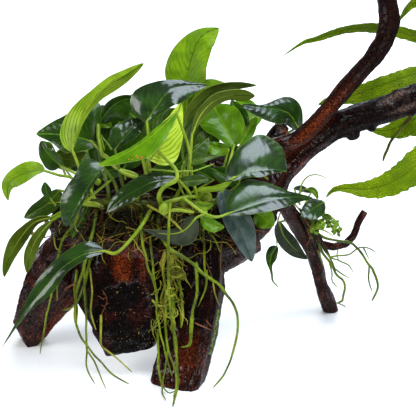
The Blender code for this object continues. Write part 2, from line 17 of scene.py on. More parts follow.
import bpy
import numpy as np
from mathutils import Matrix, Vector
from mathutils.bvhtree import BVHTree


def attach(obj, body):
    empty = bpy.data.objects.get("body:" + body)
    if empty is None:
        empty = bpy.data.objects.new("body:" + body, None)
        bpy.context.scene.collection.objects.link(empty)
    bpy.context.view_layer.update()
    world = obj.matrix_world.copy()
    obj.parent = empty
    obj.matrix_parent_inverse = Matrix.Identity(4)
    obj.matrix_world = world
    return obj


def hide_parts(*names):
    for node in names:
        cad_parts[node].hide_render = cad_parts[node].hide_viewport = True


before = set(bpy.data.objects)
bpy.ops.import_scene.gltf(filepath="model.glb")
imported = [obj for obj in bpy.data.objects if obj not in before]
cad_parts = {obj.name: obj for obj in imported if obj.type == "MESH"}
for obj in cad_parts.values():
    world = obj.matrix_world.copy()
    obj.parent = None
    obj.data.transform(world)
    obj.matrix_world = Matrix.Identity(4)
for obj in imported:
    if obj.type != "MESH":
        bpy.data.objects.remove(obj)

MM = 0.001
LOG = logging.getLogger("driftwood")
Rows = Sequence[Sequence[float]]

# How near doubled points lie, in metres: on a new mesh, and on a copy of a node
SEAM = 2e-6
CAD_SEAM = 1e-6

# What scatters the whole numbers of a cell into a random one of 16 bits
SEED_SHIFT = 17.31
CELL_CODES = (73856093, 19349663, 83492791)
MIXING_CODE = 1274126177
HALF_CODE = 32767.5


# The catalogue view


@dataclass(frozen=True)
class CatalogueView:
    """The view that places are written in: its size, the eye's distance and how steeply it looks down."""

    side: float = 416.0
    eye_distance: float = 1400.0
    eye_down: float = math.radians(20.0)
    middle: tuple[float, float, float] = (-85.35, -34.99, 150.0)

    @property
    def look(self) -> Vector:
        """Unit direction in which the eye looks."""
        return Vector((0.0, math.cos(self.eye_down), -math.sin(self.eye_down)))

    @property
    def up(self) -> Vector:
        """Unit direction that is up in the view."""
        return Vector((0.0, math.sin(self.eye_down), math.cos(self.eye_down)))

    @property
    def eye(self) -> Vector:
        """World place of the eye."""
        return self.place(self.side / 2, self.side / 2, 0.0) - self.look * self.eye_distance * MM

    def spread(self, depth: float) -> float:
        """How much larger a length is than it looks, at this depth."""
        return 1.0 + depth / self.eye_distance

    def place(self, across: float, down: float, depth: float = 0.0) -> Vector:
        """World point of a place in the view.

        Args:
            across: millimetres from the view's left edge.
            down: millimetres from its upper edge.
            depth: millimetres behind the plane through the wood's middle.

        Returns:
            The point in metres.
        """
        spread = self.spread(depth)
        point = Vector(((across - self.side / 2) * spread, 0.0, 0.0))
        point += self.up * ((self.side / 2 - down) * spread) + self.look * depth
        return (point + Vector(self.middle)) * MM

    def seen_as(self, points: np.ndarray) -> np.ndarray:
        """Where world points are seen.

        Args:
            points: rows of x, y, z in metres.

        Returns:
            Rows of across, down and depth in millimetres.
        """
        local = points / MM - np.array(self.middle)
        depth = local @ np.array(self.look)
        spread = 1.0 + depth / self.eye_distance
        across = self.side / 2 + local[:, 0] / spread
        down = self.side / 2 - (local @ np.array(self.up)) / spread
        return np.stack([across, down, depth], axis=1)


VIEW = CatalogueView()


# Small helpers for operators, curves and grids


def deselect_all() -> None:
    """Leaves nothing selected and nothing active."""
    for placed in bpy.context.selected_objects:
        placed.select_set(False)
    bpy.context.view_layer.objects.active = None


def activate(*placed: bpy.types.Object) -> None:
    """Selects these objects alone, the first of them active.

    Args:
        *placed: the objects.
    """
    deselect_all()
    for one in placed:
        one.select_set(True)
    bpy.context.view_layer.objects.active = placed[0]


def apply_modifier(placed: bpy.types.Object, kind: str, **settings: Any) -> None:
    """Adds a modifier and applies it.

    Args:
        placed: the object to change.
        kind: Blender's name of the modifier's type.
        **settings: the modifier's own settings.
    """
    activate(placed)
    made = placed.modifiers.new(kind.lower(), kind)
    for key, value in settings.items():
        setattr(made, key, value)
    bpy.ops.object.modifier_apply(modifier=made.name)


def join_pieces(name: str, placed: Sequence[bpy.types.Object]) -> bpy.types.Object:
    """Joins objects into one that takes this name.

    Args:
        name: the joined piece's name.
        placed: the objects, the first of which receives the others.

    Returns:
        The joined object.
    """
    activate(*placed)
    if len(placed) > 1:
        bpy.ops.object.join()
    joined = bpy.context.view_layer.objects.active
    joined.name = name
    joined.data.name = name
    return joined


def merge_doubles(placed: bpy.types.Object, threshold: float = SEAM, outwards: bool = False) -> None:
    """Merges doubled points.

    Args:
        placed: the object to change.
        threshold: how near to each other the merged points lie, in metres.
        outwards: whether every face is turned outwards as well.
    """
    activate(placed)
    bpy.ops.object.mode_set(mode="EDIT")
    bpy.ops.mesh.select_all(action="SELECT")
    bpy.ops.mesh.remove_doubles(threshold=threshold)
    if outwards:
        bpy.ops.mesh.normals_make_consistent(inside=False)
    bpy.ops.object.mode_set(mode="OBJECT")


def add_ball(place: Sequence[float], radius: float, subdivisions: int) -> bpy.types.Object:
    """Adds a ball at a place in the view.

    Args:
        place: across, down and depth.
        radius: in millimetres.
        subdivisions: how fine it is.

    Returns:
        The new object, at the origin.
    """
    deselect_all()
    bpy.ops.mesh.primitive_ico_sphere_add(
        subdivisions=subdivisions, radius=radius * MM, location=VIEW.place(*place)
    )
    bpy.ops.object.transform_apply(location=True, rotation=True, scale=True)
    return bpy.context.object


def points_of(mesh: bpy.types.Mesh, kind: str = "co") -> np.ndarray:
    """A mesh's points or their normals.

    Args:
        mesh: the mesh to read.
        kind: "co" for its points, "normal" for their normals.

    Returns:
        Rows of x, y, z.
    """
    flat = np.empty(len(mesh.vertices) * 3)
    mesh.vertices.foreach_get(kind, flat)
    return flat.reshape(-1, 3)


def set_points(mesh: bpy.types.Mesh, points: np.ndarray) -> None:
    """Moves a mesh's points."""
    mesh.vertices.foreach_set("co", np.ascontiguousarray(points).ravel())
    mesh.update()


def mark_points(mesh: bpy.types.Mesh, name: str, rows: np.ndarray) -> None:
    """Stores three numbers at every point of a mesh, for its material to read.

    Args:
        mesh: the mesh to mark.
        name: the attribute's name.
        rows: one row of three numbers a point.
    """
    marks = mesh.attributes.new(name, "FLOAT_VECTOR", "POINT")
    marks.data.foreach_set("vector", np.ascontiguousarray(rows, dtype=np.float32).ravel())


def smooth_line(rows: Rows, steps: int) -> np.ndarray:
    """Rows carried through a Catmull-Rom curve.

    Args:
        rows: the curve's stations, of equal length.
        steps: how many steps lie between two stations.

    Returns:
        The curve's rows, its last station included.
    """
    given = np.asarray(rows, dtype=float)
    padded = np.vstack([2 * given[0] - given[1], given, 2 * given[-1] - given[-2]])
    made = []
    for before, here, there, after in zip(padded, padded[1:], padded[2:], padded[3:]):
        for step in range(steps):
            t = step / steps
            straight = 2 * here + (there - before) * t
            bend = (2 * before - 5 * here + 4 * there - after) * t**2
            sway = (3 * here - before - 3 * there + after) * t**3
            made.append(0.5 * (straight + bend + sway))
    made.append(given[-1])
    return np.array(made)


def placed_line(rows: Rows, steps: int = 8) -> np.ndarray:
    """A smooth line in the world through places of the view."""
    return smooth_line([VIEW.place(*row) for row in rows], steps)


def run_of(line: np.ndarray) -> np.ndarray:
    """How far along a line each of its points lies."""
    return np.concatenate([[0.0], np.cumsum(np.linalg.norm(np.diff(line[:, :3], axis=0), axis=1))])


def length_of(line: np.ndarray) -> float:
    """Length in millimetres of a line in the world."""
    return float(np.linalg.norm(np.diff(line, axis=0), axis=1).sum()) / MM


def softened(values: np.ndarray) -> np.ndarray:
    """Each value drawn to the mean of the five round it."""
    return np.convolve(np.pad(values, 2, mode="edge"), np.ones(5) / 5, mode="valid")


def even_line(line: np.ndarray, count: int) -> np.ndarray:
    """The same line with this many points, evenly spaced along it.

    Args:
        line: rows of places.
        count: how many points are wanted.

    Returns:
        The new rows.
    """
    run = run_of(line)
    at = np.linspace(0.0, run[-1], count)
    return np.stack([np.interp(at, run, column) for column in line.T], axis=1)


def unit(rows: np.ndarray) -> np.ndarray:
    """Each row drawn to length one."""
    return rows / np.maximum(np.linalg.norm(rows, axis=-1, keepdims=True), 1e-12)


def headings(line: np.ndarray) -> np.ndarray:
    """Unit direction of a line at each of its points."""
    return unit(np.gradient(line, axis=0))


def carried_faces(along: np.ndarray) -> np.ndarray:
    """Directions square to a line that face the eye at its start and are carried along it without twist.

    Args:
        along: the line's unit directions.

    Returns:
        One unit direction a point.
    """
    heading = Vector(along[0])
    towards = -VIEW.look
    face = (towards - heading * heading.dot(towards)).normalized()
    faces = []
    for row in along:
        ahead = Vector(row)
        face = heading.rotation_difference(ahead) @ face
        face = (face - ahead * ahead.dot(face)).normalized()
        heading = ahead
        faces.append(face)
    return np.array(faces)


def cloud(places: np.ndarray, size: float, seed: int = 0) -> np.ndarray:
    """A smooth random field between -1 and 1.

    Args:
        places: rows of three coordinates.
        size: how far apart the field's lumps lie, in the same unit.
        seed: another number gives another field.

    Returns:
        One value a row.
    """
    scaled = places / size + seed * SEED_SHIFT
    cell = np.floor(scaled).astype(np.int64)
    part = scaled - cell
    part = part * part * (3.0 - 2.0 * part)
    total = np.zeros(len(places))
    for corner in itertools.product((0, 1), repeat=3):
        first, second, third = (cell + np.array(corner)).T
        code = (first * CELL_CODES[0]) ^ (second * CELL_CODES[1]) ^ (third * CELL_CODES[2])
        code = (code ^ (code >> 13)) & 0xFFFFFFFF
        code = (code * MIXING_CODE) & 0xFFFFFFFF
        code = (code ^ (code >> 15)) & 0xFFFF
        share = np.prod(np.where(np.array(corner) == 1, part, 1.0 - part), axis=1)
        total += share * (code / HALF_CODE - 1.0)
    return total


def layered(places: np.ndarray, layers: Sequence[tuple[float, int, float]]) -> np.ndarray:
    """Smooth random fields of (size, seed, height), added up."""
    return sum(cloud(places, size, seed) * height for size, seed, height in layers)


def laid_grid(name: str, places: np.ndarray) -> bpy.types.Object:
    """A grid primitive laid through rows of places.

    Args:
        name: the new object's name.
        places: array of rows by columns by 3, in metres.

    Returns:
        The new object, at the origin.
    """
    rows, columns = places.shape[:2]
    deselect_all()
    bpy.ops.mesh.primitive_grid_add(
        x_subdivisions=columns - 1, y_subdivisions=rows - 1, size=1.0, calc_uvs=False
    )
    grid = bpy.context.object
    grid.name = name
    grid.data.name = name
    row, column = grid_cells(grid.data, rows, columns)
    set_points(grid.data, places[row, column])
    return grid


def grid_cells(mesh: bpy.types.Mesh, rows: int, columns: int) -> tuple[np.ndarray, np.ndarray]:
    """Row and column of each point of an unshaped grid primitive of size one.

    Args:
        mesh: the grid's mesh.
        rows: how many rows it has.
        columns: how many columns it has.

    Returns:
        The row of each point, and the column of each.
    """
    flat = points_of(mesh)
    column = np.rint((flat[:, 0] + 0.5) * (columns - 1)).astype(int)
    row = np.rint((flat[:, 1] + 0.5) * (rows - 1)).astype(int)
    return row, column


def tube_places(line: np.ndarray, radii: np.ndarray, sides: int) -> np.ndarray:
    """Rings round a line, drawn to a point at both ends.

    Args:
        line: the middle line, in metres.
        radii: the radius at each of its points, in metres.
        sides: how many sides the tube has.

    Returns:
        Array of rings by sides + 1 by 3.
    """
    along = headings(line)
    faces = carried_faces(along)
    lefts = np.cross(faces, along)
    turn = np.linspace(0.0, 2 * math.pi, sides + 1)[None, :, None]
    ring = lefts[:, None, :] * np.cos(turn) + faces[:, None, :] * np.sin(turn)
    rings = line[:, None, :] + ring * radii[:, None, None]
    rings[:, -1] = rings[:, 0]
    start = np.repeat(line[:1, None, :], sides + 1, axis=1)
    end = np.repeat(line[-1:, None, :], sides + 1, axis=1)
    return np.concatenate([start, rings, end])


def bundle(name: str, tubes: Sequence[np.ndarray]) -> bpy.types.Object:
    """Tubes modelled from one grid, each its own copy, joined and closed.

    Args:
        name: the new object's name.
        tubes: arrays of rings by sides + 1 by 3, any number of rings.

    Returns:
        The joined object.
    """
    first: dict[tuple[int, int], tuple[bpy.types.Mesh, np.ndarray, np.ndarray]] = {}
    made = []
    for number, places in enumerate(tubes):
        rows, columns = places.shape[:2]
        if (rows, columns) not in first:
            flat = np.zeros((rows, columns, 3))
            flat[..., 0] = np.linspace(-0.5, 0.5, columns)[None, :]
            flat[..., 1] = np.linspace(-0.5, 0.5, rows)[:, None]
            pattern = laid_grid(f"{name}_pattern_{rows}_{columns}", flat)
            first[rows, columns] = (pattern.data, *grid_cells(pattern.data, rows, columns))
            bpy.data.objects.remove(pattern)
        pattern_mesh, row, column = first[rows, columns]
        mesh = pattern_mesh.copy()
        set_points(mesh, places[row, column])
        placed = bpy.data.objects.new(f"{name}_{number:03d}", mesh)
        bpy.context.scene.collection.objects.link(placed)
        made.append(placed)
    joined = join_pieces(name, made)
    merge_doubles(joined, outwards=True)
    for pattern_mesh, _, _ in first.values():
        bpy.data.meshes.remove(pattern_mesh)
    return joined


def shade(placed: bpy.types.Object, angle: float = 50.0) -> None:
    """Smooth shading up to this many degrees."""
    activate(placed)
    bpy.ops.object.shade_smooth_by_angle(angle=math.radians(angle))


def finish_piece(placed: bpy.types.Object, nodes: Iterable[str] = (), finish: Any = None) -> None:
    """Rides a piece on the root, hides the nodes it replaces and logs its faces.

    Args:
        placed: the finished piece.
        nodes: the nodes it replaces.
        finish: what it is dressed in, if it isn't dressed yet.
    """
    if finish is not None:
        placed.data.materials.clear()
        placed.data.materials.append(material_of(finish))
    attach(placed, "root")
    nodes = tuple(nodes)
    if nodes:
        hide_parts(*nodes)
    LOG.info("%s: %d faces", placed.name, len(placed.data.polygons))


# Finishes


def linear(colour: str) -> tuple[float, float, float, float]:
    """Linear red, green, blue and alpha of an sRGB hex colour.

    Args:
        colour: a hash sign and six hex digits.

    Returns:
        Four numbers from 0 to 1.
    """
    parts = [int(colour[i : i + 2], 16) / 255 for i in (1, 3, 5)]
    red, green, blue = (p / 12.92 if p <= 0.04045 else ((p + 0.055) / 1.055) ** 2.4 for p in parts)
    return (red, green, blue, 1.0)


Inputs = dict[int | str, Any] | tuple
SMOOTH = {"interpolation_type": "SMOOTHSTEP"}
COLOURS = {"data_type": "RGBA", "out": 2}


def feed(node: bpy.types.Node, inputs: Inputs) -> None:
    """Fills a node's inputs.

    Args:
        node: the node.
        inputs: by name, by number or in order, an output socket to link or a plain value.
    """
    named = inputs if isinstance(inputs, dict) else dict(enumerate(inputs))
    for key, value in named.items():
        if isinstance(value, bpy.types.NodeSocket):
            node.id_data.links.new(value, node.inputs[key])
        else:
            node.inputs[key].default_value = value


def add_node(
    tree: bpy.types.NodeTree, kind: str, inputs: Inputs = (), out: int | str = 0, **settings: Any
) -> bpy.types.NodeSocket:
    """Adds a node with its settings and links.

    Args:
        tree: the material's node tree.
        kind: Blender's name of the node's type, after ShaderNode.
        inputs: what goes into it, as feed takes it.
        out: which of its outputs is handed back.
        **settings: the node's own settings.

    Returns:
        The output's socket.
    """
    made = tree.nodes.new("ShaderNode" + kind)
    for key, value in settings.items():
        setattr(made, key, value)
    feed(made, inputs)
    return made.outputs[out]


def blank_material(
    name: str,
) -> tuple[bpy.types.Material, bpy.types.Node, Callable[..., bpy.types.NodeSocket]]:
    """A new material, its Principled node, and add_node for its tree.

    Args:
        name: the material's name.

    Returns:
        The material, the node, and add_node with the tree filled in.
    """
    material = bpy.data.materials.new(name)
    material.use_nodes = True
    tree = material.node_tree
    return material, tree.nodes["Principled BSDF"], partial(add_node, tree)


@dataclass(frozen=True)
class BladeFinish:
    """Living leaf: a waxy skin on green tissue, with side veins that curve from its midrib to its tip."""

    name: str
    tissue: str
    blotch: str
    vein: str
    margin: str
    roughness: float = 0.42
    coat: float = 0.4
    coat_roughness: float = 0.14
    glow: float = 0.1
    vein_share: float = 0.35
    midrib_width: float = 0.9
    pucker: float = 0.2
    netted: bool = False
    least_vein: float = 0.0

    def make(self) -> bpy.types.Material:
        """Builds the material. Its blade marks are millimetres across, millimetres along and edge share, its
        vein marks the side veins' count from the base, the same of the lengthwise ones, and a drift.

        Returns:
            The material.
        """
        material, shader, add = blank_material(self.name)
        marks = add("Attribute", out="Vector", attribute_name="blade")
        count = add("Attribute", out="Vector", attribute_name="vein")
        across, _, edge = add("SeparateXYZ", (marks,)).node.outputs
        side_count = add("SeparateXYZ", (count,))
        where = add("TexCoord", out="Object")
        drift = add("TexNoise", {"Vector": where, "Scale": 70.0, "Detail": 2.0})
        lean = add("Math", (drift, 0.5 if self.netted else 0.9, side_count), operation="MULTIPLY_ADD")
        beat = add("Math", (lean, 0.5), operation="PINGPONG")
        if self.netted:
            # A net with meshes about 2.5 mm wide, crossed by side veins
            cells = {"Vector": marks, "Scale": 0.40, "Randomness": 1.0}
            net = add("TexVoronoi", cells, "Distance", feature="DISTANCE_TO_EDGE", voronoi_dimensions="2D")
            side = add("MapRange", (beat, 0.03, 0.12, 1.0, 0.0), **SMOOTH)
            vein = add("MapRange", (net, 0.01, 0.10, 1.0, 0.0), **SMOOTH)
            vein = add("Math", (vein, side), operation="MAXIMUM")
            swell = add("MapRange", (net, 0.0, 0.35), **SMOOTH)
        else:
            # Five to eight side veins on each half, some far fainter than others
            vein = add("MapRange", (beat, 0.04, 0.20, 1.0, 0.0), **SMOOTH)
            faint = add("TexNoise", {"Vector": where, "Scale": 95.0, "Detail": 3.0})
            faint = add("MapRange", (faint, 0.38, 0.62, self.least_vein), **SMOOTH)
            vein = add("Math", (vein, faint), operation="MULTIPLY")
            swell = add("MapRange", (beat, 0.0, 0.5, 0.0, 0.35), **SMOOTH)
        patch = add("TexNoise", {"Vector": where, "Scale": 42.0, "Detail": 5.0, "Roughness": 0.62})
        patch = add("MapRange", (patch, 0.38, 0.64), **SMOOTH)
        vein = add("Math", (vein, self.vein_share), operation="MULTIPLY")
        rib = add("Math", (across,), operation="ABSOLUTE")
        rib = add("MapRange", (rib, self.midrib_width * 0.3, self.midrib_width, 0.8, 0.0), **SMOOTH)
        # A pale line along the edge: partly the leaf's own paler margin, partly a painted rim highlight
        rim = add("MapRange", (edge, 0.955, 1.0, 0.0, 0.6), **SMOOTH)
        colour = linear(self.tissue)
        for share, layer in ((patch, self.blotch), (vein, self.vein), (rib, self.vein), (rim, self.margin)):
            colour = add("Mix", {0: share, 6: colour, 7: linear(layer)}, **COLOURS)
        # Fine skin, creases a few millimetres apart, and ridges drawn out along the veins
        drawn = add("Mapping", {"Vector": count, "Scale": (1.7, 0.4, 1.0)})
        height = swell
        for vector, scale, detail, roughness, weight in (
            (where, 900.0, 2.0, 0.5, 0.08), (where, 150.0, 4.0, 0.6, 1.0), (drawn, 1.0, 4.0, 0.6, 1.8),
        ):
            noise = {"Vector": vector, "Scale": scale, "Detail": detail, "Roughness": roughness}
            height = add("Math", (add("TexNoise", noise), weight, height), operation="MULTIPLY_ADD")
        gloss = (patch, 0.0, 1.0, self.roughness - 0.05, self.roughness + 0.08)
        feed(shader, {
            "Base Color": colour, "Roughness": add("MapRange", gloss, **SMOOTH), "IOR": 1.42,
            "Normal": add("Bump", {"Height": height, "Strength": self.pucker, "Distance": 0.003}),
            "Specular IOR Level": 0.1, "Coat Weight": self.coat, "Coat Roughness": self.coat_roughness,
            "Subsurface Weight": self.glow, "Subsurface Radius": (0.6, 1.0, 0.15), "Subsurface Scale": 0.002,
        })
        return material


@dataclass(frozen=True)
class StemFinish:
    """Soft plant stem or root: one green that drifts to another, with brown dust and a wet skin."""

    name: str
    fresh: str
    aged: str
    dust: str
    dust_share: float = 0.25
    roughness: float = 0.38
    coat: float = 0.35
    glow: float = 0.08

    def make(self) -> bpy.types.Material:
        """Builds the material from noise a few millimetres across.

        Returns:
            The material.
        """
        material, shader, add = blank_material(self.name)
        where = add("TexCoord", out="Object")
        drift = add("TexNoise", {"Vector": where, "Scale": 55.0, "Detail": 3.0})
        drift = add("MapRange", (drift, 0.35, 0.65), **SMOOTH)
        colour = add("Mix", {0: drift, 6: linear(self.fresh), 7: linear(self.aged)}, **COLOURS)
        fleck = add("TexNoise", {"Vector": where, "Scale": 420.0, "Detail": 4.0, "Roughness": 0.65})
        fleck = add("MapRange", (fleck, 0.54, 0.64, 0.0, self.dust_share), **SMOOTH)
        colour = add("Mix", {0: fleck, 6: colour, 7: linear(self.dust)}, **COLOURS)
        pits = add("TexNoise", {"Vector": where, "Scale": 700.0, "Detail": 3.0})
        feed(shader, {
            "Base Color": colour, "Roughness": self.roughness, "IOR": 1.4,
            "Normal": add("Bump", {"Height": pits, "Strength": 0.4, "Distance": 0.0004}),
            "Specular IOR Level": 0.12, "Coat Weight": self.coat, "Coat Roughness": 0.2,
            "Subsurface Weight": self.glow, "Subsurface Radius": (0.6, 1.0, 0.25), "Subsurface Scale": 0.0015,
        })
        return material


@dataclass(frozen=True)
class WetWoodFinish:
    """Waterlogged root wood: dark tannin brown, granular, with wet glints, red heartwood where it is worn."""

    name: str = "waterlogged_root_wood"
    groove: str = "#050201"
    body: str = "#240c07"
    ridge: str = "#6b3322"
    worn: str = "#8e3a12"
    sawn: str = "#0b0605"
    sawn_patch: str = "#2c0f0c"
    fleck: str = "#9a7a4a"
    bleached: str = "#8f7468"
    # Near black: black wood, and painted shade on the crown under the leaves
    black: str = "#090302"
    red: str = "#36150c"
    moss: str = "#5f7a12"

    def make(self) -> bpy.types.Material:
        """Builds the material. Its grain marks are millimetres round and along each limb, its stain marks
        shares of sawn, worn and bleached wood, and its cast marks shares of black wood and painted shade,
        red wood and mossy wood.

        Returns:
            The material.
        """
        material, shader, add = blank_material(self.name)
        where = add("TexCoord", out="Object")
        names = ("grain", "stain", "cast")
        grain, stain, cast = (add("Attribute", out="Vector", attribute_name=name) for name in names)
        sawn, worn, bleached = add("SeparateXYZ", (stain,)).node.outputs
        black, red, mossy = add("SeparateXYZ", (cast,)).node.outputs
        # Grain lines are about 1.5 mm wide and ten times as long
        drawn = add("Mapping", {"Vector": grain, "Scale": (0.6, 0.6, 0.06)})
        lines = add("TexNoise", {"Vector": drawn, "Scale": 1.0, "Detail": 6.0, "Roughness": 0.68})
        broad = add("TexNoise", {"Vector": where, "Scale": 60.0, "Detail": 5.0, "Roughness": 0.65})
        grit = add("TexNoise", {"Vector": where, "Scale": 560.0, "Detail": 4.0, "Roughness": 0.7})
        grains = add("TexVoronoi", {"Vector": where, "Scale": 620.0}, "Distance")
        tone = add("Math", (broad, 0.4), operation="MULTIPLY")
        for share, weight in ((lines, 0.6), (red, 0.05), (black, -0.08)):
            tone = add("Math", (share, weight, tone), operation="MULTIPLY_ADD")
        lit = add("MapRange", (tone, 0.41, 0.51), **SMOOTH)
        lightest = add("MapRange", (tone, 0.51, 0.64), **SMOOTH)
        colour = linear(self.groove)
        for share, weight, layer in (
            (lit, 1.0, self.body), (lightest, 1.0, self.ridge), (red, 0.45, self.red),
            (black, 0.7, self.black), (worn, 0.8, self.worn), (bleached, 1.0, self.bleached),
        ):
            share = add("Math", (share, weight), operation="MULTIPLY")
            colour = add("Mix", {0: share, 6: colour, 7: linear(layer)}, **COLOURS)
        patch = add("TexNoise", {"Vector": where, "Scale": 45.0, "Detail": 3.0})
        patch = add("MapRange", (patch, 0.52, 0.66), **SMOOTH)
        face = add("Mix", {0: patch, 6: linear(self.sawn), 7: linear(self.sawn_patch)}, **COLOURS)
        colour = add("Mix", {0: sawn, 6: colour, 7: face}, **COLOURS)
        # Pale dots under a millimetre wide, most of them on the sawn face
        dots = add("TexNoise", {"Vector": where, "Scale": 520.0, "Detail": 2.0})
        dots = add("MapRange", (dots, 0.66, 0.72), **SMOOTH)
        dotted = add("Math", (sawn, 0.7, 0.12), operation="MULTIPLY_ADD")
        dots = add("Math", (dots, dotted), operation="MULTIPLY")
        colour = add("Mix", {0: dots, 6: colour, 7: linear(self.fleck)}, **COLOURS)
        colour = add("Mix", {0: mossy, 6: colour, 7: linear(self.moss)}, **COLOURS)
        # Grit specks in the colour: partly the wood's mottling, partly painted shade and glints of the grit
        speck = add("MapRange", (grit, 0.40, 0.63, 0.2, 2.3), **SMOOTH)
        colour = add("Mix", {0: 1.0, 6: colour, 7: speck}, blend_type="MULTIPLY", **COLOURS)
        relief = add("Math", (lines, 1.6, grit), operation="MULTIPLY_ADD")
        relief = add("Math", (grains, -1.0, relief), operation="MULTIPLY_ADD")
        # Wet glints, fewer on red wood, on black wood and on the painted shade of the crown
        glint = add("TexNoise", {"Vector": where, "Scale": 760.0, "Detail": 3.0, "Roughness": 0.7})
        wet = add("MapRange", (glint, 0.49, 0.55, 0.0, 0.8), **SMOOTH)
        damp = add("TexNoise", {"Vector": where, "Scale": 50.0, "Detail": 2.0})
        for left in ((damp, 0.35, 0.6, 0.3, 1.0), (red, 0.4, 0.8, 1.0, 0.15), (black, 0.3, 0.9, 1.0, 0.35)):
            wet = add("Math", (wet, add("MapRange", left, **SMOOTH)), operation="MULTIPLY")
        feed(shader, {
            "Base Color": colour, "Roughness": 0.6, "IOR": 1.45, "Specular IOR Level": 0.04,
            "Normal": add("Bump", {"Height": relief, "Strength": 1.0, "Distance": 0.0016}),
            "Coat Weight": wet, "Coat Roughness": 0.1,
        })
        return material


class Tone(Enum):
    """How old a leaf is and how it takes the light."""

    GLOSSY = "glossy"  # old and waxy: near black green with small sharp highlights
    DARK = "dark"  # grown: deep green, softly shiny
    FRESH = "fresh"  # of this season: clear mid green
    BRIGHT = "bright"  # lit from behind: even yellow-green
    YOUNG = "young"  # thin: yellow-green with darker veins
    PALE = "pale"  # newest: lime, its veins standing out
    OLIVE = "olive"  # shaded by the clump: dull olive
    GREY = "grey"  # blue-grey, a painted sheen over dark green
    FERN = "fern"  # java fern: matt lime with a net of veins


BLADE_FINISHES = {
    Tone.GLOSSY: (
        BladeFinish("old_waxy_leaf", "#142b04", "#264706", "#376310", "#6f8f3c", 0.34, 0.9, 0.2, 0.02, 0.14,
                    pucker=0.9),
        BladeFinish("old_leaf_underside", "#33491a", "#445b20", "#223610", "#75893f", 0.5, 0.1, 0.3, 0.08,
                    0.5),
    ),
    Tone.DARK: (
        BladeFinish("grown_leaf", "#173003", "#2c4c04", "#4f7a0c", "#6d8f2c", 0.4, 0.35, 0.16, 0.04, 0.2),
        BladeFinish("grown_leaf_underside", "#43580f", "#566d16", "#2a4210", "#7a9040", 0.5, 0.08, 0.3, 0.1,
                    0.5),
    ),
    Tone.FRESH: (
        BladeFinish("fresh_leaf", "#3e6603", "#588205", "#749016", "#7f9c2c", 0.4, 0.25, 0.16, 0.06, 0.25),
        BladeFinish("fresh_leaf_underside", "#6a8610", "#7f9b1c", "#47650a", "#93a848", 0.45, 0.1, 0.2, 0.15,
                    0.5),
    ),
    Tone.BRIGHT: (
        BladeFinish("backlit_leaf", "#537203", "#6e8c06", "#2c4502", "#3c5406", 0.5, 0.05, 0.3, 0.12, 0.5,
                    0.8),
        BladeFinish("backlit_leaf_underside", "#6c8a0c", "#7f9c16", "#3f620a", "#8a9f3a", 0.45, 0.1, 0.2,
                    0.15, 0.6),
    ),
    Tone.YOUNG: (
        BladeFinish("young_leaf", "#5c7a0b", "#769215", "#3c5c08", "#93a848", 0.42, 0.15, 0.18, 0.12, 0.5),
        BladeFinish("young_leaf_underside", "#6a8410", "#849e20", "#344f06", "#a3b75c", 0.45, 0.1, 0.2, 0.12,
                    0.9, 1.2, least_vein=0.6),
    ),
    Tone.PALE: (
        BladeFinish("newest_leaf", "#6b8a1c", "#86a62c", "#4d6f10", "#a3b75c", 0.42, 0.25, 0.18, 0.15, 0.5),
        BladeFinish("newest_leaf_underside", "#a6bf2c", "#bfd340", "#557a10", "#b7cd62", 0.42, 0.1, 0.2, 0.18,
                    0.9, 1.1, least_vein=0.6),
    ),
    Tone.OLIVE: (
        BladeFinish("shaded_leaf", "#243c07", "#39520e", "#5a741c", "#6f8438", 0.42, 0.2, 0.15, 0.04, 0.4),
        BladeFinish("shaded_leaf_underside", "#46540f", "#59691b", "#2c3c0a", "#7f9040", 0.5, 0.06, 0.3, 0.1,
                    0.7, least_vein=0.5),
    ),
    # Blue-grey upper side: painted sheen, a reflection painted over dark green
    Tone.GREY: (
        BladeFinish("painted_sheen_leaf", "#2c403a", "#536661", "#243822", "#7f9188", 0.42, 0.6, 0.32, 0.02, 0.3,
                    pucker=0.5),
        BladeFinish("grey_leaf_underside", "#262d1b", "#3c432e", "#1a200d", "#687050", 0.46, 0.2, 0.25, 0.06,
                    0.5),
    ),
    Tone.FERN: (
        BladeFinish("java_fern_frond", "#708a02", "#94ad08", "#557402", "#47600a", 0.5, 0.03, 0.25, 0.12, 0.6,
                    0.9, 0.9, True),
        BladeFinish("java_fern_underside", "#748c08", "#90a814", "#4c680a", "#4f6a0c", 0.5, 0.03, 0.3, 0.12,
                    0.7, 0.9, 0.9, True),
    ),
}

# Stalks are satin, and duller and darker in the clump's shade
LEAF_STALK = StemFinish("leaf_stalk", "#6f8a16", "#8a9c2c", "#3a480e", 0.45, coat=0.2)
DARK_STALK = StemFinish("shaded_leaf_stalk", "#3b520c", "#566a18", "#28330b", 0.5, coat=0.15)
# A creeping stem's skin is woody and nearly dull, with brown scars
RHIZOME_SKIN = StemFinish("rhizome_skin", "#5c6a14", "#38420c", "#1c1206", 0.8, 0.5, 0.12)
# Living water roots are olive to yellow and faintly wet
WATER_ROOT = StemFinish("water_root", "#768716", "#46560c", "#22260a", 0.7, coat=0.2)
PALE_ROOT = StemFinish("pale_water_root", "#a09c34", "#6c701c", "#3f3812", 0.6, coat=0.2)
# Dead roots and rotting tissue are brown to orange and dull
BROWN_ROOT = StemFinish("old_brown_root", "#74502a", "#4a2c15", "#20110a", 0.5, 0.55, 0.1, 0.0)
WITHERED = StemFinish("withered_frond", "#5a6414", "#3c2c0c", "#1c0f06", 0.7, 0.5, 0.1)
DRY_ROOT = StemFinish("dry_orange_root", "#7c4a30", "#5c2f1c", "#2c140c", 0.6, 0.5, 0.1, 0.0)
BLEMISH = StemFinish("leaf_blemish", "#b0541a", "#93801c", "#5c3008", 0.4, 0.5, 0.1)
DARK_FIBRE = StemFinish("dark_root_fibre", "#2c2a0c", "#191406", "#090604", 0.6, 0.6, 0.1, 0.0)

MADE: dict[str, bpy.types.Material] = {}


def material_of(finish: Any) -> bpy.types.Material:
    """The material of a finish, made on its first use.

    Args:
        finish: a finish of leaf, stem or wood.

    Returns:
        Its material.
    """
    if finish.name not in MADE:
        MADE[finish.name] = finish.make()
    return MADE[finish.name]


# Leaves


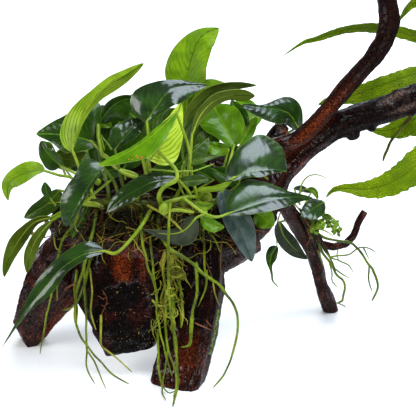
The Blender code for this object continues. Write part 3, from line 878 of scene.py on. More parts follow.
class Leaf(NamedTuple):
    """A blade on its stalk, written as it is seen. Rib is its midrib, base first. Left and right are how far
    the blade is seen to reach from the midrib, looking from its base to its tip: either at each of
    HALF_SHARES, or its greatest reach alone. Tilt is how far the left and right halves fall back from the eye
    for each millimetre that they are seen to reach. Under says that the under side faces the eye, lobe how
    far the base reaches back beside the stalk, and ripple how far the edges wave, in millimetres. Bulge is
    how far each half arches and scallop how deep its edge is notched, as shares of its reach."""

    name: str
    stalk: tuple
    rib: tuple
    left: Any
    right: Any
    tone: Tone = Tone.DARK
    tilt: tuple[float, float] = (-0.2, -0.2)
    under: bool = False
    lobe: float = 0.0
    ripple: float = 0.8
    stalk_radius: float = 1.5
    bulge: float = 0.10
    scallop: float = 0.0


# Where along a blade its measured reaches lie, and how its outline rounds at the base and narrows to the tip
HALF_SHARES = (0.1, 0.3, 0.5, 0.7, 0.88)
BASE_ROUNDING = 0.45
TIP_ROUNDING = 0.7
PLAIN_FORM = (0.66, 0.95, 1.0, 0.80, 0.42)

# How a blade is shaped: points on its midrib, how its rows crowd to the ends and its columns to the edges,
# its scallops in millimetres, its edge waves as shares of its length, its ridges and dents in millimetres
MIDRIB_POINTS = 61
ROW_CROWDING = 0.07
EDGE_CROWDING = 0.85
FOLD_POWER = 1.15
SCALLOP_LENGTH = 11.0
LONG_WAVE, SHORT_WAVE = 0.16, 0.075
RIDGE_SPACING, FINE_RIDGE_SPACING, RIDGE_HEIGHT = 7.5, 4.6, 0.22
WARP_SIZE, FINE_WARP_SIZE, WARP_HEIGHT = 15.0, 6.0, 0.8

# How far side veins slant to the tip, and how many there are
UPPER_VEINS = (0.62, 8.0)
UNDER_VEINS = (1.0, 5.5)


def outline(reach: Any, t: np.ndarray) -> np.ndarray:
    """How far half a blade reaches at shares t of its length, in millimetres.

    Args:
        reach: its reach at each of HALF_SHARES, or its greatest reach.
        t: shares of the blade's length.

    Returns:
        The reach at each share, nothing at both ends.
    """
    rows = np.array(reach if isinstance(reach, tuple) else [reach * part for part in PLAIN_FORM], dtype=float)
    at = np.array(HALF_SHARES)
    fullness = rows / (at**BASE_ROUNDING * (1.0 - at) ** TIP_ROUNDING)
    line = smooth_line(np.stack([at, fullness], axis=1), 12)
    inner = np.clip(t, 0.0, 1.0)
    return np.interp(inner, line[:, 0], line[:, 1]) * inner**BASE_ROUNDING * (1.0 - inner) ** TIP_ROUNDING


class Blade:
    """The geometry of one blade: its midrib, its frame along the midrib and its surface."""

    def __init__(self, leaf: Leaf) -> None:
        """Carries the midrib and the directions across it along the blade.

        Args:
            leaf: the leaf's row.
        """
        self.leaf = leaf
        seen = even_line(smooth_line(leaf.rib, 10), MIDRIB_POINTS)
        self.shares = np.linspace(0.0, 1.0, len(seen))
        self.rib = np.array([VIEW.place(*row) for row in seen])
        self.along = headings(self.rib)
        ahead = unit(np.gradient(seen[:, :2], axis=0))
        right, up = np.array((1.0, 0.0, 0.0)), np.array(VIEW.up)
        self.across = right * ahead[:, 1:2] + up * ahead[:, 0:1]
        self.spread = VIEW.spread(float(np.mean(seen[:, 2])))
        self.run = run_of(self.rib)

    def carried(self, rows: np.ndarray, t: np.ndarray) -> np.ndarray:
        """Rows given along the midrib, read at shares t."""
        return np.stack([np.interp(t, self.shares, rows[:, k]) for k in range(3)], axis=1)

    def frames(self, t: np.ndarray) -> tuple[np.ndarray, np.ndarray, np.ndarray, np.ndarray]:
        """Midrib, direction, upper side's normal and the seen left at shares t of its length.

        Args:
            t: shares of the blade's length.

        Returns:
            Four arrays, with one row a share.
        """
        rib, along, across = (self.carried(rows, t) for rows in (self.rib, self.along, self.across))
        along, across = unit(along), unit(across)
        lean = (self.leaf.tilt[0] - self.leaf.tilt[1]) / 2
        side = across + np.array(VIEW.look) * lean
        face = unit(np.cross(along, side))
        return rib, along, -face if self.leaf.under else face, across

    def surface(self, rows: int, columns: int, seed: int) -> tuple[np.ndarray, np.ndarray, np.ndarray]:
        """The blade's upper surface and its marks.

        Args:
            rows: how many rows run across it.
            columns: how many columns run along it, an odd number.
            seed: gives each blade waves of its own.

        Returns:
            Places, marks of millimetres across, millimetres along and edge share, and marks of veins.
        """
        leaf = self.leaf
        t = np.linspace(0.0, 1.0, rows)
        t = t - ROW_CROWDING * np.sin(2 * math.pi * t) / math.pi
        side = np.linspace(1.0, -1.0, columns)
        side = np.sign(side) * np.abs(side) ** EDGE_CROWDING
        if leaf.under:
            side = -side
        rib, along, face, across = self.frames(t)
        reach = np.where(side > 0, outline(leaf.left, t)[:, None], outline(leaf.right, t)[:, None])
        share = np.broadcast_to(np.abs(side)[None, :], (rows, columns))
        beat = np.interp(t, self.shares, self.run) / MM * 2 * math.pi / SCALLOP_LENGTH + seed
        beat = beat + 1.3 * np.sin(beat * 0.31)
        notch = np.sin(beat)[:, None] + 0.5 * np.sin(beat * 2.3)[:, None] * np.sign(side)
        reach = reach * (1.0 + leaf.scallop * notch)
        apart = reach * side[None, :] * self.spread
        tilt = np.where(side > 0, leaf.tilt[0], leaf.tilt[1])[None, :]
        back = tilt * reach * share**FOLD_POWER
        true_reach = np.abs(apart) * np.sqrt(1.0 + tilt**2)
        run = np.interp(t, self.shares, self.run)[:, None] / MM
        phase = seed * 1.7
        waves = np.sin(run / (run[-1, 0] * LONG_WAVE) + phase + 1.9 * np.sign(side)[None, :])
        waves = waves + 0.6 * np.sin(run / (run[-1, 0] * SHORT_WAVE) + phase * 2.3 - side[None, :])
        envelope = np.sin(np.clip(t, 0, 1) * math.pi)[:, None] ** 0.6
        lift = leaf.bulge * reach * np.sin(share * math.pi * 0.9)
        lift = lift + leaf.ripple * waves * share**2 * envelope
        lean = run - 0.5 * true_reach - 0.02 * true_reach**2
        ridge = np.sin(lean * 2 * math.pi / RIDGE_SPACING + phase)
        ridge = ridge + 0.5 * np.sin(lean * 2 * math.pi / FINE_RIDGE_SPACING + phase * 2)
        lift = lift + RIDGE_HEIGHT * ridge * np.sin(share * math.pi) * envelope
        places = rib[:, None, :] + across[:, None, :] * (apart * MM)[..., None]
        places = places + np.array(VIEW.look) * (back * MM)[..., None]
        lobe = leaf.lobe * MM * share**1.5 * (1.0 - t[:, None]) ** 4
        places = places - along[:, None, :] * lobe[..., None]
        warps = ((WARP_SIZE, seed, 1.0), (FINE_WARP_SIZE, seed + 40, 0.35))
        warp = layered(places.reshape(-1, 3) / MM, warps).reshape(rows, columns)
        lift = lift + warp * WARP_HEIGHT * share
        places = places + face[:, None, :] * (lift * MM)[..., None]
        marks = [np.sign(side)[None, :] * true_reach, np.broadcast_to(run, reach.shape), share]
        slant, number = UNDER_VEINS if leaf.under else UPPER_VEINS
        veins = (t[:, None] - slant * share**0.9 * (1.0 - 0.35 * t[:, None])) * number
        veins = [veins + 40.0 + 0.5 * (side > 0)[None, :], share * 7.0, np.full(share.shape, float(seed))]
        return places, np.stack(marks, axis=2), np.stack(veins, axis=2)


def build_leaf(leaf: Leaf, seed: int, rows: int = 48, columns: int = 17, thickness: float = 0.5,
               stalk_finish: StemFinish = LEAF_STALK) -> bpy.types.Object:
    """Models a blade and its stalk, and dresses both.

    Args:
        leaf: the leaf's row.
        seed: gives it waves of its own.
        rows: rows of the blade's grid.
        columns: columns of the blade's grid.
        thickness: the blade's thickness in millimetres.
        stalk_finish: what its stalk is dressed in.

    Returns:
        The leaf as one object.
    """
    blade = Blade(leaf)
    places, marks, veins = blade.surface(rows, columns, seed)
    grid = laid_grid(leaf.name, places)
    row, column = np.divmod(np.arange(rows * columns), columns)
    mark_points(grid.data, "blade", marks[row, column])
    mark_points(grid.data, "vein", veins[row, column])
    merge_doubles(grid)
    for finish in BLADE_FINISHES[leaf.tone]:
        grid.data.materials.append(material_of(finish))
    apply_modifier(grid, "SOLIDIFY", thickness=thickness * MM, offset=-1.0, material_offset=1,
                   material_offset_rim=1, use_even_offset=False)
    parts = [grid]
    if leaf.stalk:
        parts.append(build_stalk(leaf, blade, stalk_finish))
    made = join_pieces(leaf.name, parts)
    shade(made, 55.0)
    return made


def build_stalk(leaf: Leaf, blade: Blade, finish: StemFinish) -> bpy.types.Object:
    """A round stalk that carries on under the blade as its midrib.

    Args:
        leaf: the leaf's row.
        blade: the leaf's blade.
        finish: what the stalk is dressed in.

    Returns:
        The stalk as one object.
    """
    way = placed_line((*leaf.stalk, leaf.rib[0]))
    t = np.linspace(0.0, 0.93, 22)[1:]
    rib, _, face, _ = blade.frames(t)
    rib_radius = leaf.stalk_radius * MM * (0.62 * (1 - t) ** 1.3 + 0.05)
    rib = rib - face * (rib_radius[:, None] * 0.75 + 0.0001)
    share = np.linspace(1.25, 1.0, len(way))
    share[: len(way) // 4] += np.linspace(0.35, 0.0, len(way) // 4)
    radii = np.concatenate([share * leaf.stalk_radius * MM * 0.92, rib_radius])
    radii[len(way) - 3 : len(way)] *= (0.97, 0.92, 0.86)
    stalk = laid_grid(leaf.name + "_stalk", tube_places(np.vstack([way, rib]), softened(radii), 8))
    merge_doubles(stalk, outwards=True)
    stalk.data.materials.append(material_of(finish))
    return stalk


ANUBIAS_LEAVES = (
    Leaf("anubias_leaf_01", ((186, 150, 31), (187, 120, 24)),
         ((187, 85, 10), (190, 64, 9), (197, 43, 10), (206, 33, 12), (219, 28, 14)),
         (21, 23, 18.5, 10, 3.5), (17, 17.5, 17, 16, 13), Tone.BRIGHT, (0.1, -0.45), lobe=8),
    Leaf("anubias_leaf_02", ((135, 206, -34), (145, 176, -50), (149, 150, -50)),
         ((147, 121, -46), (157, 106, -45), (168, 92, -42), (184, 86, -36), (207, 85, -26)),
         (24, 26, 11, 5.5, 2.5), (4.5, 12, 16.5, 14, 6), Tone.GLOSSY, (0.35, -0.35), lobe=3),
    Leaf("anubias_leaf_03", ((88, 204, -25), (82, 176, -40)),
         ((72, 149, -46), (80, 122, -42), (92, 102, -38), (110, 84, -36), (128, 74, -35), (144, 63, -36)),
         (15.5, 14.5, 9, 7, 5), (2, 3.5, 5, 8, 4), Tone.YOUNG, (0.35, 0.8), under=True, lobe=3),
    Leaf("anubias_leaf_04", ((118, 205, -32), (138, 178, -40), (116, 168, -34), (107, 158, -24)),
         ((91, 141, -14), (76, 137, -14), (62, 135, -12), (49, 134, -9), (36, 134, -6)),
         (10, 16, 16, 9, 4.5), (38, 31, 21, 13, 6), Tone.DARK, (-0.4, 0.25), lobe=6),
    Leaf("anubias_leaf_05", ((97, 204, -28), (84, 180, -28)),
         ((61, 166, -6), (52, 158, -7), (44, 148, -5), (41, 141, -2)),
         (9, 11.5, 9.5, 7, 4), (5, 7, 7, 5, 3), Tone.DARK, (0.1, -0.5)),
    Leaf("anubias_leaf_06", ((82, 204, -22), (74, 180, -26), (58, 175, -27)),
         ((42, 170, -26), (28, 172.5, -29), (15, 178, -31), (8, 186, -30), (8, 201, -26)),
         (3.5, 8.5, 9.5, 7, 2), (8.5, 11, 9.5, 7, 4), Tone.YOUNG, (-0.5, 0.15), lobe=3),
    Leaf("anubias_leaf_07", ((73, 204, -18), (68, 194, -16)),
         ((60, 190, -10), (47, 204, -12), (36, 211, -11), (24, 218, -8)),
         (8, 10, 10, 8, 4), (5, 8, 8, 7, 4), Tone.OLIVE, (0.0, -0.3)),
    Leaf("anubias_leaf_08", ((76, 205, -21), (64, 211, -25)),
         ((52, 217, -28), (34, 222, -27), (20, 238, -26), (9, 258, -29), (4, 277, -34)),
         (2.5, 4.5, 6, 5.5, 3), (2.5, 4.5, 6.5, 6, 3.5), Tone.OLIVE, (1.2, -1.2), under=True),
    Leaf("anubias_leaf_09", ((79, 205, -23), (66, 212, -29)),
         ((51, 221, -34), (42, 231, -33), (34, 243, -33), (29, 258, -35), (27, 273, -39)),
         (2.5, 5, 6, 5, 3), (2.5, 5, 6, 5.5, 3), Tone.OLIVE, (1.0, -1.0), under=True),
    Leaf("anubias_leaf_10", ((122, 206, -34), (114, 182, -52)),
         ((103, 167, -58), (91, 182, -64), (79, 202, -67), (66, 227, -62)),
         (2.5, 3.5, 4, 4.5, 3.5), (20, 18, 19, 17.5, 10), Tone.GLOSSY, (-0.2, 0.3), lobe=2),
    Leaf("anubias_leaf_11", ((152, 207, -36), (140, 228, -62), (118, 252, -64)),
         ((104, 251, -62), (85, 254, -67), (62, 268, -70), (45, 287, -71), (25, 312, -69), (2, 347, -62)),
         (5, 6.5, 9, 3.2, 1), (11, 11, 9.5, 3.8, 1), Tone.GLOSSY, (-0.4, 0.35), stalk_radius=1.6),
    Leaf("anubias_leaf_12", ((172, 206, -34), (190, 160, -56)),
         ((176, 111, -72), (166, 123, -79), (148, 139, -83), (125, 154, -83), (98, 165.5, -80)),
         (5, 12, 16.5, 10, 4.5), (2, 3, 3.5, 4, 3.5), Tone.FRESH, (-0.7, 1.4)),
    Leaf("anubias_leaf_13",
         ((163, 208, -36), (159, 196, -66), (164, 187, -74), (176, 180, -78), (176, 170, -76),
          (166, 159, -72)),
         ((157, 150, -66), (167, 135, -60), (175, 120, -56), (181, 103, -54)),
         (10, 12, 11, 7, 4), (20, 19, 14, 8, 4), Tone.PALE, (0.25, 0.25), under=True, lobe=13,
         stalk_radius=1.9),
    Leaf("anubias_leaf_14", ((128, 206, -34), (121, 178, -38)),
         ((115, 149, -38), (124, 138, -38), (134, 128, -35), (146, 119, -30)),
         (10, 15, 14, 10, 5), (2, 5, 8, 8, 4), Tone.GLOSSY, (0.1, -0.3), lobe=2),
    Leaf("anubias_leaf_15", ((108, 205, -31), (108, 188, -34), (99, 150, -12)),
         ((100, 122, -4), (111, 107, -10), (126, 99, -12), (142, 100, -10)),
         (3, 5, 5.5, 4, 2), (8, 18, 20, 16, 8), Tone.DARK, (-0.9, 0.2), stalk_radius=1.6),
    Leaf("anubias_leaf_16", ((202, 149, 31), (198, 128, 30)),
         ((192, 112, 26), (202, 97, 26), (213, 87, 28), (226, 83.5, 30)),
         (8, 14, 15, 9, 4), (8, 12, 12, 7, 4), Tone.BRIGHT, (0.1, -0.3)),
    Leaf("anubias_leaf_17", ((190, 206, -28), (183, 160, -18)),
         ((183, 128, -12), (188, 115, -6), (200, 101, -2), (217, 90, 0), (237, 85.5, 0), (257, 85, -2)),
         (3, 4.5, 5.5, 4.5, 2.5), (3, 5, 5, 4.5, 2.5), Tone.OLIVE, (-1.2, 1.2), under=True),
    Leaf("anubias_leaf_18", ((199, 205, -25), (191, 168, -24)),
         ((192, 134, -24), (199, 117, -17), (211, 103, -12), (226, 96, -10), (240, 95, -10), (255, 96, -12)),
         (2, 4.5, 5.5, 5.5, 5), (2, 4.5, 5, 4.5, 6), Tone.OLIVE, (-1.1, 1.1), under=True),
    Leaf("anubias_leaf_19", ((216, 204, -16), (227, 172, -24)),
         ((234, 145, -4), (227, 130, 2), (219, 116, 9), (213, 105, 18)),
         (7, 12.5, 18, 21, 16), (10, 18, 20, 18, 12), Tone.FRESH, (-0.15, -0.15), lobe=2),
    Leaf("anubias_leaf_20", ((232, 152, 31), (256, 139, 50), (284, 134, 50)),
         ((298, 127, 28), (288, 113, 19), (268, 108, 8), (241, 105, -4)),
         (8, 14.5, 15, 11, 6), (8, 16, 10, 2.5, 2), Tone.GLOSSY, (-0.35, 0.5), lobe=3),
    Leaf("anubias_leaf_21", ((204, 204, -22), (202, 192, -44), (222, 188, -56)),
         ((233, 178, -58), (248, 172, -55), (262, 170, -51), (276, 170, -45), (287, 171, -36)),
         (14, 27, 36, 31, 21), (3, 5, 7, 4, 1.5), Tone.GLOSSY, (0.5, -0.7), lobe=7, stalk_radius=2.1),
    Leaf("anubias_leaf_22", ((182, 206, -33), (184, 199, -60), (202, 212, -72), (216, 217, -72)),
         ((230, 213, -66), (250, 206, -62), (272, 199, -57), (292, 197, -48), (313, 198, -34)),
         (18, 25.5, 16, 6, 2.5), (5, 9.5, 11.5, 8.5, 3.5), Tone.GLOSSY, (0.5, -0.6), lobe=3),
    Leaf("anubias_leaf_23", ((309, 223, 48), (322, 212, 60)),
         ((324, 202, 48), (312, 209, 34), (301, 216, 24)),
         (7, 10, 11, 9.5, 5), (5, 8, 9.5, 8, 5), Tone.GLOSSY, (-0.4, 0.5)),
    Leaf("anubias_leaf_24", ((313, 231, 54), (300, 218, 84)),
         ((279, 222, 90), (284, 236, 98), (295, 249, 107), (308, 259, 116)),
         (4, 7, 8, 6, 2.5), (6, 8.5, 9, 7.5, 4), Tone.GREY, (0.2, 0.2), under=True),
    Leaf("anubias_leaf_25", ((305, 216, 43), (288, 200, 88), (277, 224, 112)),
         ((277, 246, 114), (272, 255, 113), (270, 264, 113), (272, 274, 114), (273, 281, 115),
          (278, 287, 116)),
         (4, 5.5, 2, 0.9, 0.6), (6, 5.5, 2, 0.9, 0.6), Tone.DARK, (0.0, 0.0), stalk_radius=0.9),
    Leaf("anubias_leaf_26", ((219, 203, -16), (220, 197, -31)),
         ((222, 191, -37), (230, 210, -40), (240, 232, -39), (252, 262, -32)),
         (9, 15, 16, 13, 7), (8, 10.5, 11, 8.5, 5), Tone.GREY, (0.0, -0.35), lobe=2),
    Leaf("anubias_leaf_27", ((198, 205, -26), (206, 212, -48)),
         ((196, 218, -56), (183, 231, -55), (164, 234, -56), (143, 229, -60)),
         (9, 15, 10, 5, 2), (7, 6, 4.5, 3.5, 1.5), Tone.GREY, (0.3, 0.2), under=True),
    Leaf("anubias_leaf_28", ((187, 206, -30), (190, 194, -44)),
         ((177, 178, -54), (151, 183, -62), (126, 196, -65), (106, 213, -64)),
         (3, 6.5, 8, 7.5, 4.5), (4, 10, 11.5, 9, 5.5), Tone.GLOSSY, (-0.6, 0.4)),
    Leaf("anubias_leaf_29", ((140, 163, 30), (140, 140, 44)),
         ((138, 120, 62), (127, 111, 84), (120, 108, 112)), 19, 19, Tone.DARK, (-0.2, 0.3), lobe=8),
    Leaf("anubias_leaf_30", ((110, 175, 29), (100, 158, 48)),
         ((90, 150, 62), (74, 157, 86), (58, 168, 104)), 17, 17, Tone.DARK, (-0.2, 0.3), under=True),
    Leaf("anubias_leaf_31", ((214, 150, 31), (222, 130, 48)),
         ((228, 122, 62), (246, 117, 88), (262, 118, 116)), 18, 18, Tone.FRESH, (0.1, -0.3), lobe=8),
    Leaf("anubias_leaf_32", ((168, 154, 31), (172, 150, 56)),
         ((176, 156, 70), (184, 174, 96), (192, 196, 112)), 18, 18, Tone.GLOSSY, (0.2, -0.2), under=True),
)

FERN_FRONDS = (
    Leaf("fern_frond_1", ((462, 73, 37), (455, 62, 50)),
         ((444, 54, 56), (416, 37, 49), (377, 28.5, 43), (345, 30, 43), (316, 39, 47), (303, 43, 49),
          (281, 57, 54)),
         (5, 5.5, 4.5, 3, 0.7), (5, 5.5, 4.5, 3.2, 0.7), Tone.FERN, (1.0, -1.0)),
    Leaf("fern_frond_2", ((476, 69, 37), (482, 50, 46)),
         ((478, 34, 52), (462, 8, 40), (438, -6, 34), (412, 5, 38), (398, 22, 46)),
         (4, 6, 6, 5, 3), (4, 6, 6, 5, 3), Tone.FERN, (1.0, -1.0)),
    Leaf("fern_frond_3", ((456, 75, 37), (452, 66, 60)),
         ((444, 70, 80), (416, 74, 77), (385, 84, 75), (352, 96, 78), (318, 105, 86)),
         (7, 10, 12, 9.5, 3), (7, 8.5, 8.5, 8, 6.5), Tone.FERN, (-0.1, 0.1)),
    Leaf("fern_frond_4", ((468, 71, 37), (473, 58, 66), (467, 84, 94)),
         ((454, 106, 98), (432, 112, 94), (410, 121, 93), (390, 130, 94), (369, 130, 96)),
         (8, 14, 16, 11, 5), (8, 9, 10, 8, 3), Tone.FERN, (-0.1, 0.2)),
    Leaf("fern_frond_5", ((452, 77, 37), (458, 98, 24)),
         ((452, 116, 24), (437, 145, 21), (416, 166, 20), (392, 182, 20), (368, 189, 22), (343, 188.5, 26),
          (333, 190.5, 28), (325.5, 198, 30)),
         (7, 16, 14.5, 10, 3.2), (7, 15, 13, 9, 4), Tone.FERN, (-0.25, 0.05)),
    Leaf("fern_frond_6", ((489, 65, 36), (492, 50, 32)),
         ((496, 36, 30), (520, 0, 16), (548, -38, 20)), 11, 11, Tone.FERN, (0.1, -0.3)),
    Leaf("fern_frond_7", ((486, 65, 36), (497, 68, 22)),
         ((506, 74, 14), (540, 88, -14), (572, 108, -24)), 11.5, 11.5, Tone.FERN, (0.2, -0.5)),
    Leaf("fern_frond_8", ((483, 67, 37), (486, 46, 64)),
         ((490, 32, 80), (512, 23, 114), (524, 22, 150)), 10.5, 10.5, Tone.FERN, (0.2, -0.3)),
    Leaf("fern_frond_9", ((492, 63, 37), (516, 76, 28)),
         ((524, 92, 34), (546, 127, 44), (562, 164, 70)), 11.5, 11.5, Tone.FERN, (0.2, -0.4)),
)

# Small leaves between the large ones, all joined in one piece
SMALL_LEAVES = (
    Leaf("pale_back_leaf", ((84, 190, -12), (66, 170, 0)),
         ((58, 150, 2), (66, 160, 3), (86, 152, 4)), 7, 8, Tone.OLIVE, under=True),
    Leaf("pale_left_leaf", ((66, 176, -4),), ((53, 147, 0), (46, 146, 0), (41, 141, 0)), 5, 5, Tone.YOUNG),
    Leaf("left_dark_leaf", ((92, 206, -26),), ((89, 205, -30), (81, 220, -34), (72, 238, -36)), 5, 9,
         Tone.DARK),
    Leaf("left_flap", ((56, 206, -12),), ((49, 197, -12), (46, 189, -12), (45, 182, -12)), 5, 5, Tone.DARK),
    Leaf("grey_top_leaf", ((104, 150, 0),), ((97, 122, 6), (99, 113, 7), (104, 105, 8)), 7, 7, Tone.GREY),
    Leaf("light_wedge", ((112, 150, 4),), ((92, 124, 10), (102, 123, 10), (112, 127, 10)), 8, 5, Tone.YOUNG),
    Leaf("dark_wedge", ((236, 160, 12),), ((246, 128, 10), (240, 116, 9), (231, 100, 8)), 8, 8, Tone.DARK),
    Leaf("bright_sliver", ((230, 165, 4),), ((240, 145, 8), (247, 132, 12), (257, 117, 16)), 7, 7,
         Tone.FRESH),
    Leaf("bright_round_leaf", ((222, 172, -10),), ((229, 149, -14), (217, 148, -12), (205, 143, -10)), 8, 6,
         Tone.FRESH, ripple=1.6),
    Leaf("ruffled_leaf", ((256, 200, -28),), ((256, 212, -32), (264, 218, -33), (274, 226, -34)), 10, 11,
         Tone.FRESH, ripple=2.6),
    Leaf("ruffled_crown_leaf", ((205, 206, -44),), ((201, 218, -48), (212, 225, -48), (224, 228, -48)), 6, 7,
         Tone.FRESH, ripple=2.4),
    Leaf("crown_scrap", ((205, 206, -42),), ((195, 203, -46), (204, 206, -47), (214, 204, -48)), 4, 5,
         Tone.YOUNG),
    Leaf("olive_crown_leaf", ((186, 200, -40),), ((178, 182, -50), (194, 181, -48), (209, 179, -44)), 6, 5,
         Tone.OLIVE),
    Leaf("edged_dark_leaf", ((184, 185, -20),), ((184, 162, -24), (195, 150, -22), (209, 138, -18)), 3, 12,
         Tone.OLIVE),
    Leaf("narrow_olive_leaf", ((180, 190, -30),), ((182, 166, -32), (204, 158, -30), (223, 155, -26)), 2, 4,
         Tone.OLIVE),
    Leaf("dark_filler_leaf", ((224, 196, -26),), ((238, 184, -30), (226, 176, -27), (211, 168, -24)), 9, 8,
         Tone.DARK),
    Leaf("dark_crown_filler", ((186, 196, -16),), ((214, 180, -14), (200, 172, -14), (186, 170, -14)), 9, 9,
         Tone.DARK),
    Leaf("gap_leaf_left", ((104, 180, 14),), ((98, 166, 12), (108, 140, 14), (126, 112, 16)), 17, 19,
         Tone.DARK),
    Leaf("gap_leaf_middle", ((150, 180, 12),), ((146, 158, 10), (158, 134, 12), (176, 108, 14)), 17, 16,
         Tone.OLIVE),
    Leaf("gap_leaf_right", ((196, 186, 10),), ((190, 172, 8), (192, 142, 10), (200, 112, 12)), 17, 17,
         Tone.OLIVE),
    Leaf("gap_leaf_mid_low", ((126, 186, 8),), ((124, 168, 6), (134, 148, 8), (150, 126, 10)), 15, 15,
         Tone.DARK),
    Leaf("gap_leaf_low", ((176, 190, 6),), ((150, 182, 4), (172, 168, 4), (196, 152, 6)), 12, 12, Tone.DARK),
    Leaf("gap_leaf_far_left", ((82, 190, 10),), ((80, 172, 8), (74, 150, 10), (66, 136, 12)), 10, 5,
         Tone.DARK),
    Leaf("gap_leaf_far_right", ((236, 190, 8),), ((240, 180, 6), (236, 160, 8), (230, 142, 10)), 12, 12,
         Tone.DARK),
    Leaf("bright_back_leaf", ((190, 150, 24),),
         ((184, 126, 20), (188, 106, 20), (197, 90, 22), (208, 80, 22)), 9, 9, Tone.BRIGHT),
    Leaf("gap_leaf_floor", ((92, 190, 12),), ((94, 172, 10), (112, 170, 10), (132, 166, 10)), 8, 8,
         Tone.DARK),
    Leaf("gap_leaf_under", ((196, 172, 10),), ((198, 158, 8), (208, 144, 8), (218, 124, 8)), 13, 10,
         Tone.OLIVE),
    Leaf("gap_leaf_dot", ((188, 140, 18),), ((188, 126, 14), (194, 114, 14), (203, 98, 16)), 7, 7,
         Tone.OLIVE),
    Leaf("leg_shoot_leaf", ((297, 196, 46), (303, 190, 44)), ((307, 189, 42), (314, 191, 41), (318, 199, 40)),
         3, 3, Tone.FRESH),
    Leaf("leg_grey_scrap", ((300, 205, 46),), ((294, 188, 44), (302, 188, 44), (311, 193, 44)), 2.5, 3.5,
         Tone.GREY),
)


# Wood


class Limb(NamedTuple):
    """The middle line of a stretch of wood, and how rough its surface is."""

    stations: tuple
    roughness: float = 1.0


LIMBS = (
    Limb(((56, 222, 12), (110, 228, -2), (150, 233, -4), (190, 237, -2), (222, 236, 6), (246, 226, 14))),
    Limb(((84, 214, 22), (112, 203, 24), (150, 192, 25), (192, 184, 26), (228, 184, 26), (256, 188, 26))),
    Limb(((94, 236, 4), (67, 269, 18), (44, 300, 34), (33, 321, 46), (33, 338, 56), (31, 354, 65))),
    Limb(((126, 250, -8), (125, 276, -14), (125, 300, -18), (126, 328, -20), (131, 351, -20)), 0.8),
    Limb(((193, 250, -10), (192, 290, -18), (189, 325, -23), (184, 358, -26), (178, 380, -28),
          (174, 402, -30))),
    Limb(((232, 234, 10), (252, 217, 20), (267, 195, 27), (280, 174, 33), (303, 150, 38), (330, 128, 42),
          (352, 119, 45), (385, 110, 48), (416, 98, 50), (450, 88, 50), (490, 76, 48), (528, 60, 42)), 0.9),
    Limb(((280, 198, 26), (292, 216, 42), (304, 237, 63), (313, 252, 77), (317, 268, 92), (321, 284, 107),
          (327, 299, 121), (334, 322, 142)), 0.6),
    Limb(((310, 244, 72), (320, 244, 78), (333, 247, 82), (346, 244, 85), (354, 235, 86), (358, 223, 86),
          (365, 211, 86)), 0.5),
    Limb(((262, 190, 22), (261, 166, 10), (270, 148, 6), (281, 144, 6), (294, 141, 7), (307, 132, 8),
          (326, 112, 9), (345, 89, 10), (361, 71, 11), (373, 58, 12), (384, 41, 13), (390, 20, 14),
          (387, 0, 14), (381, -22, 13), (379, -46, 12), (386, -68, 12)), 0.45),
    Limb(((262, 152, 12), (271, 141, 22), (279, 131, 30), (283, 126, 34)), 0.5),
)

# How grain marks are drawn out along a limb, and how far in metres one limb's grain lies from the next's
GRAIN_DRAW = np.array([1.0, 1.0, 0.11])
LIMB_SHIFT = 0.7

WOOD_NODES = (
    "root_crown", "crown_ridge", "left_root", "middle_root", "front_root", "lower_branch", "right_root",
    "root_twig", "upper_branch",
)


class Patch(NamedTuple):
    """A stained patch of wood: an ellipse of the view by its middle and its half width and height, how strong
    it is, how wide its edge fades as a share of its size, and how many degrees it is turned."""

    middle: tuple[float, float]
    size: tuple[float, float]
    strength: float
    soft: float
    turn: float = 0.0


def patch_shares(seen: np.ndarray, patches: Sequence[Patch]) -> np.ndarray:
    """How strongly patches stain places of the view.

    Args:
        seen: rows of across, down and depth.
        patches: the patches, which add up where they overlap.

    Returns:
        One share a row, nothing outside every patch.
    """
    total = np.zeros(len(seen))
    for patch in patches:
        cosine, sine = math.cos(math.radians(patch.turn)), math.sin(math.radians(patch.turn))
        aside, below = seen[:, 0] - patch.middle[0], seen[:, 1] - patch.middle[1]
        wide, high = patch.size
        far = np.hypot((aside * cosine + below * sine) / wide, (below * cosine - aside * sine) / high)
        total += patch.strength * np.clip((1.0 + patch.soft - far) / (2 * patch.soft), 0.0, 1.0)
    return total


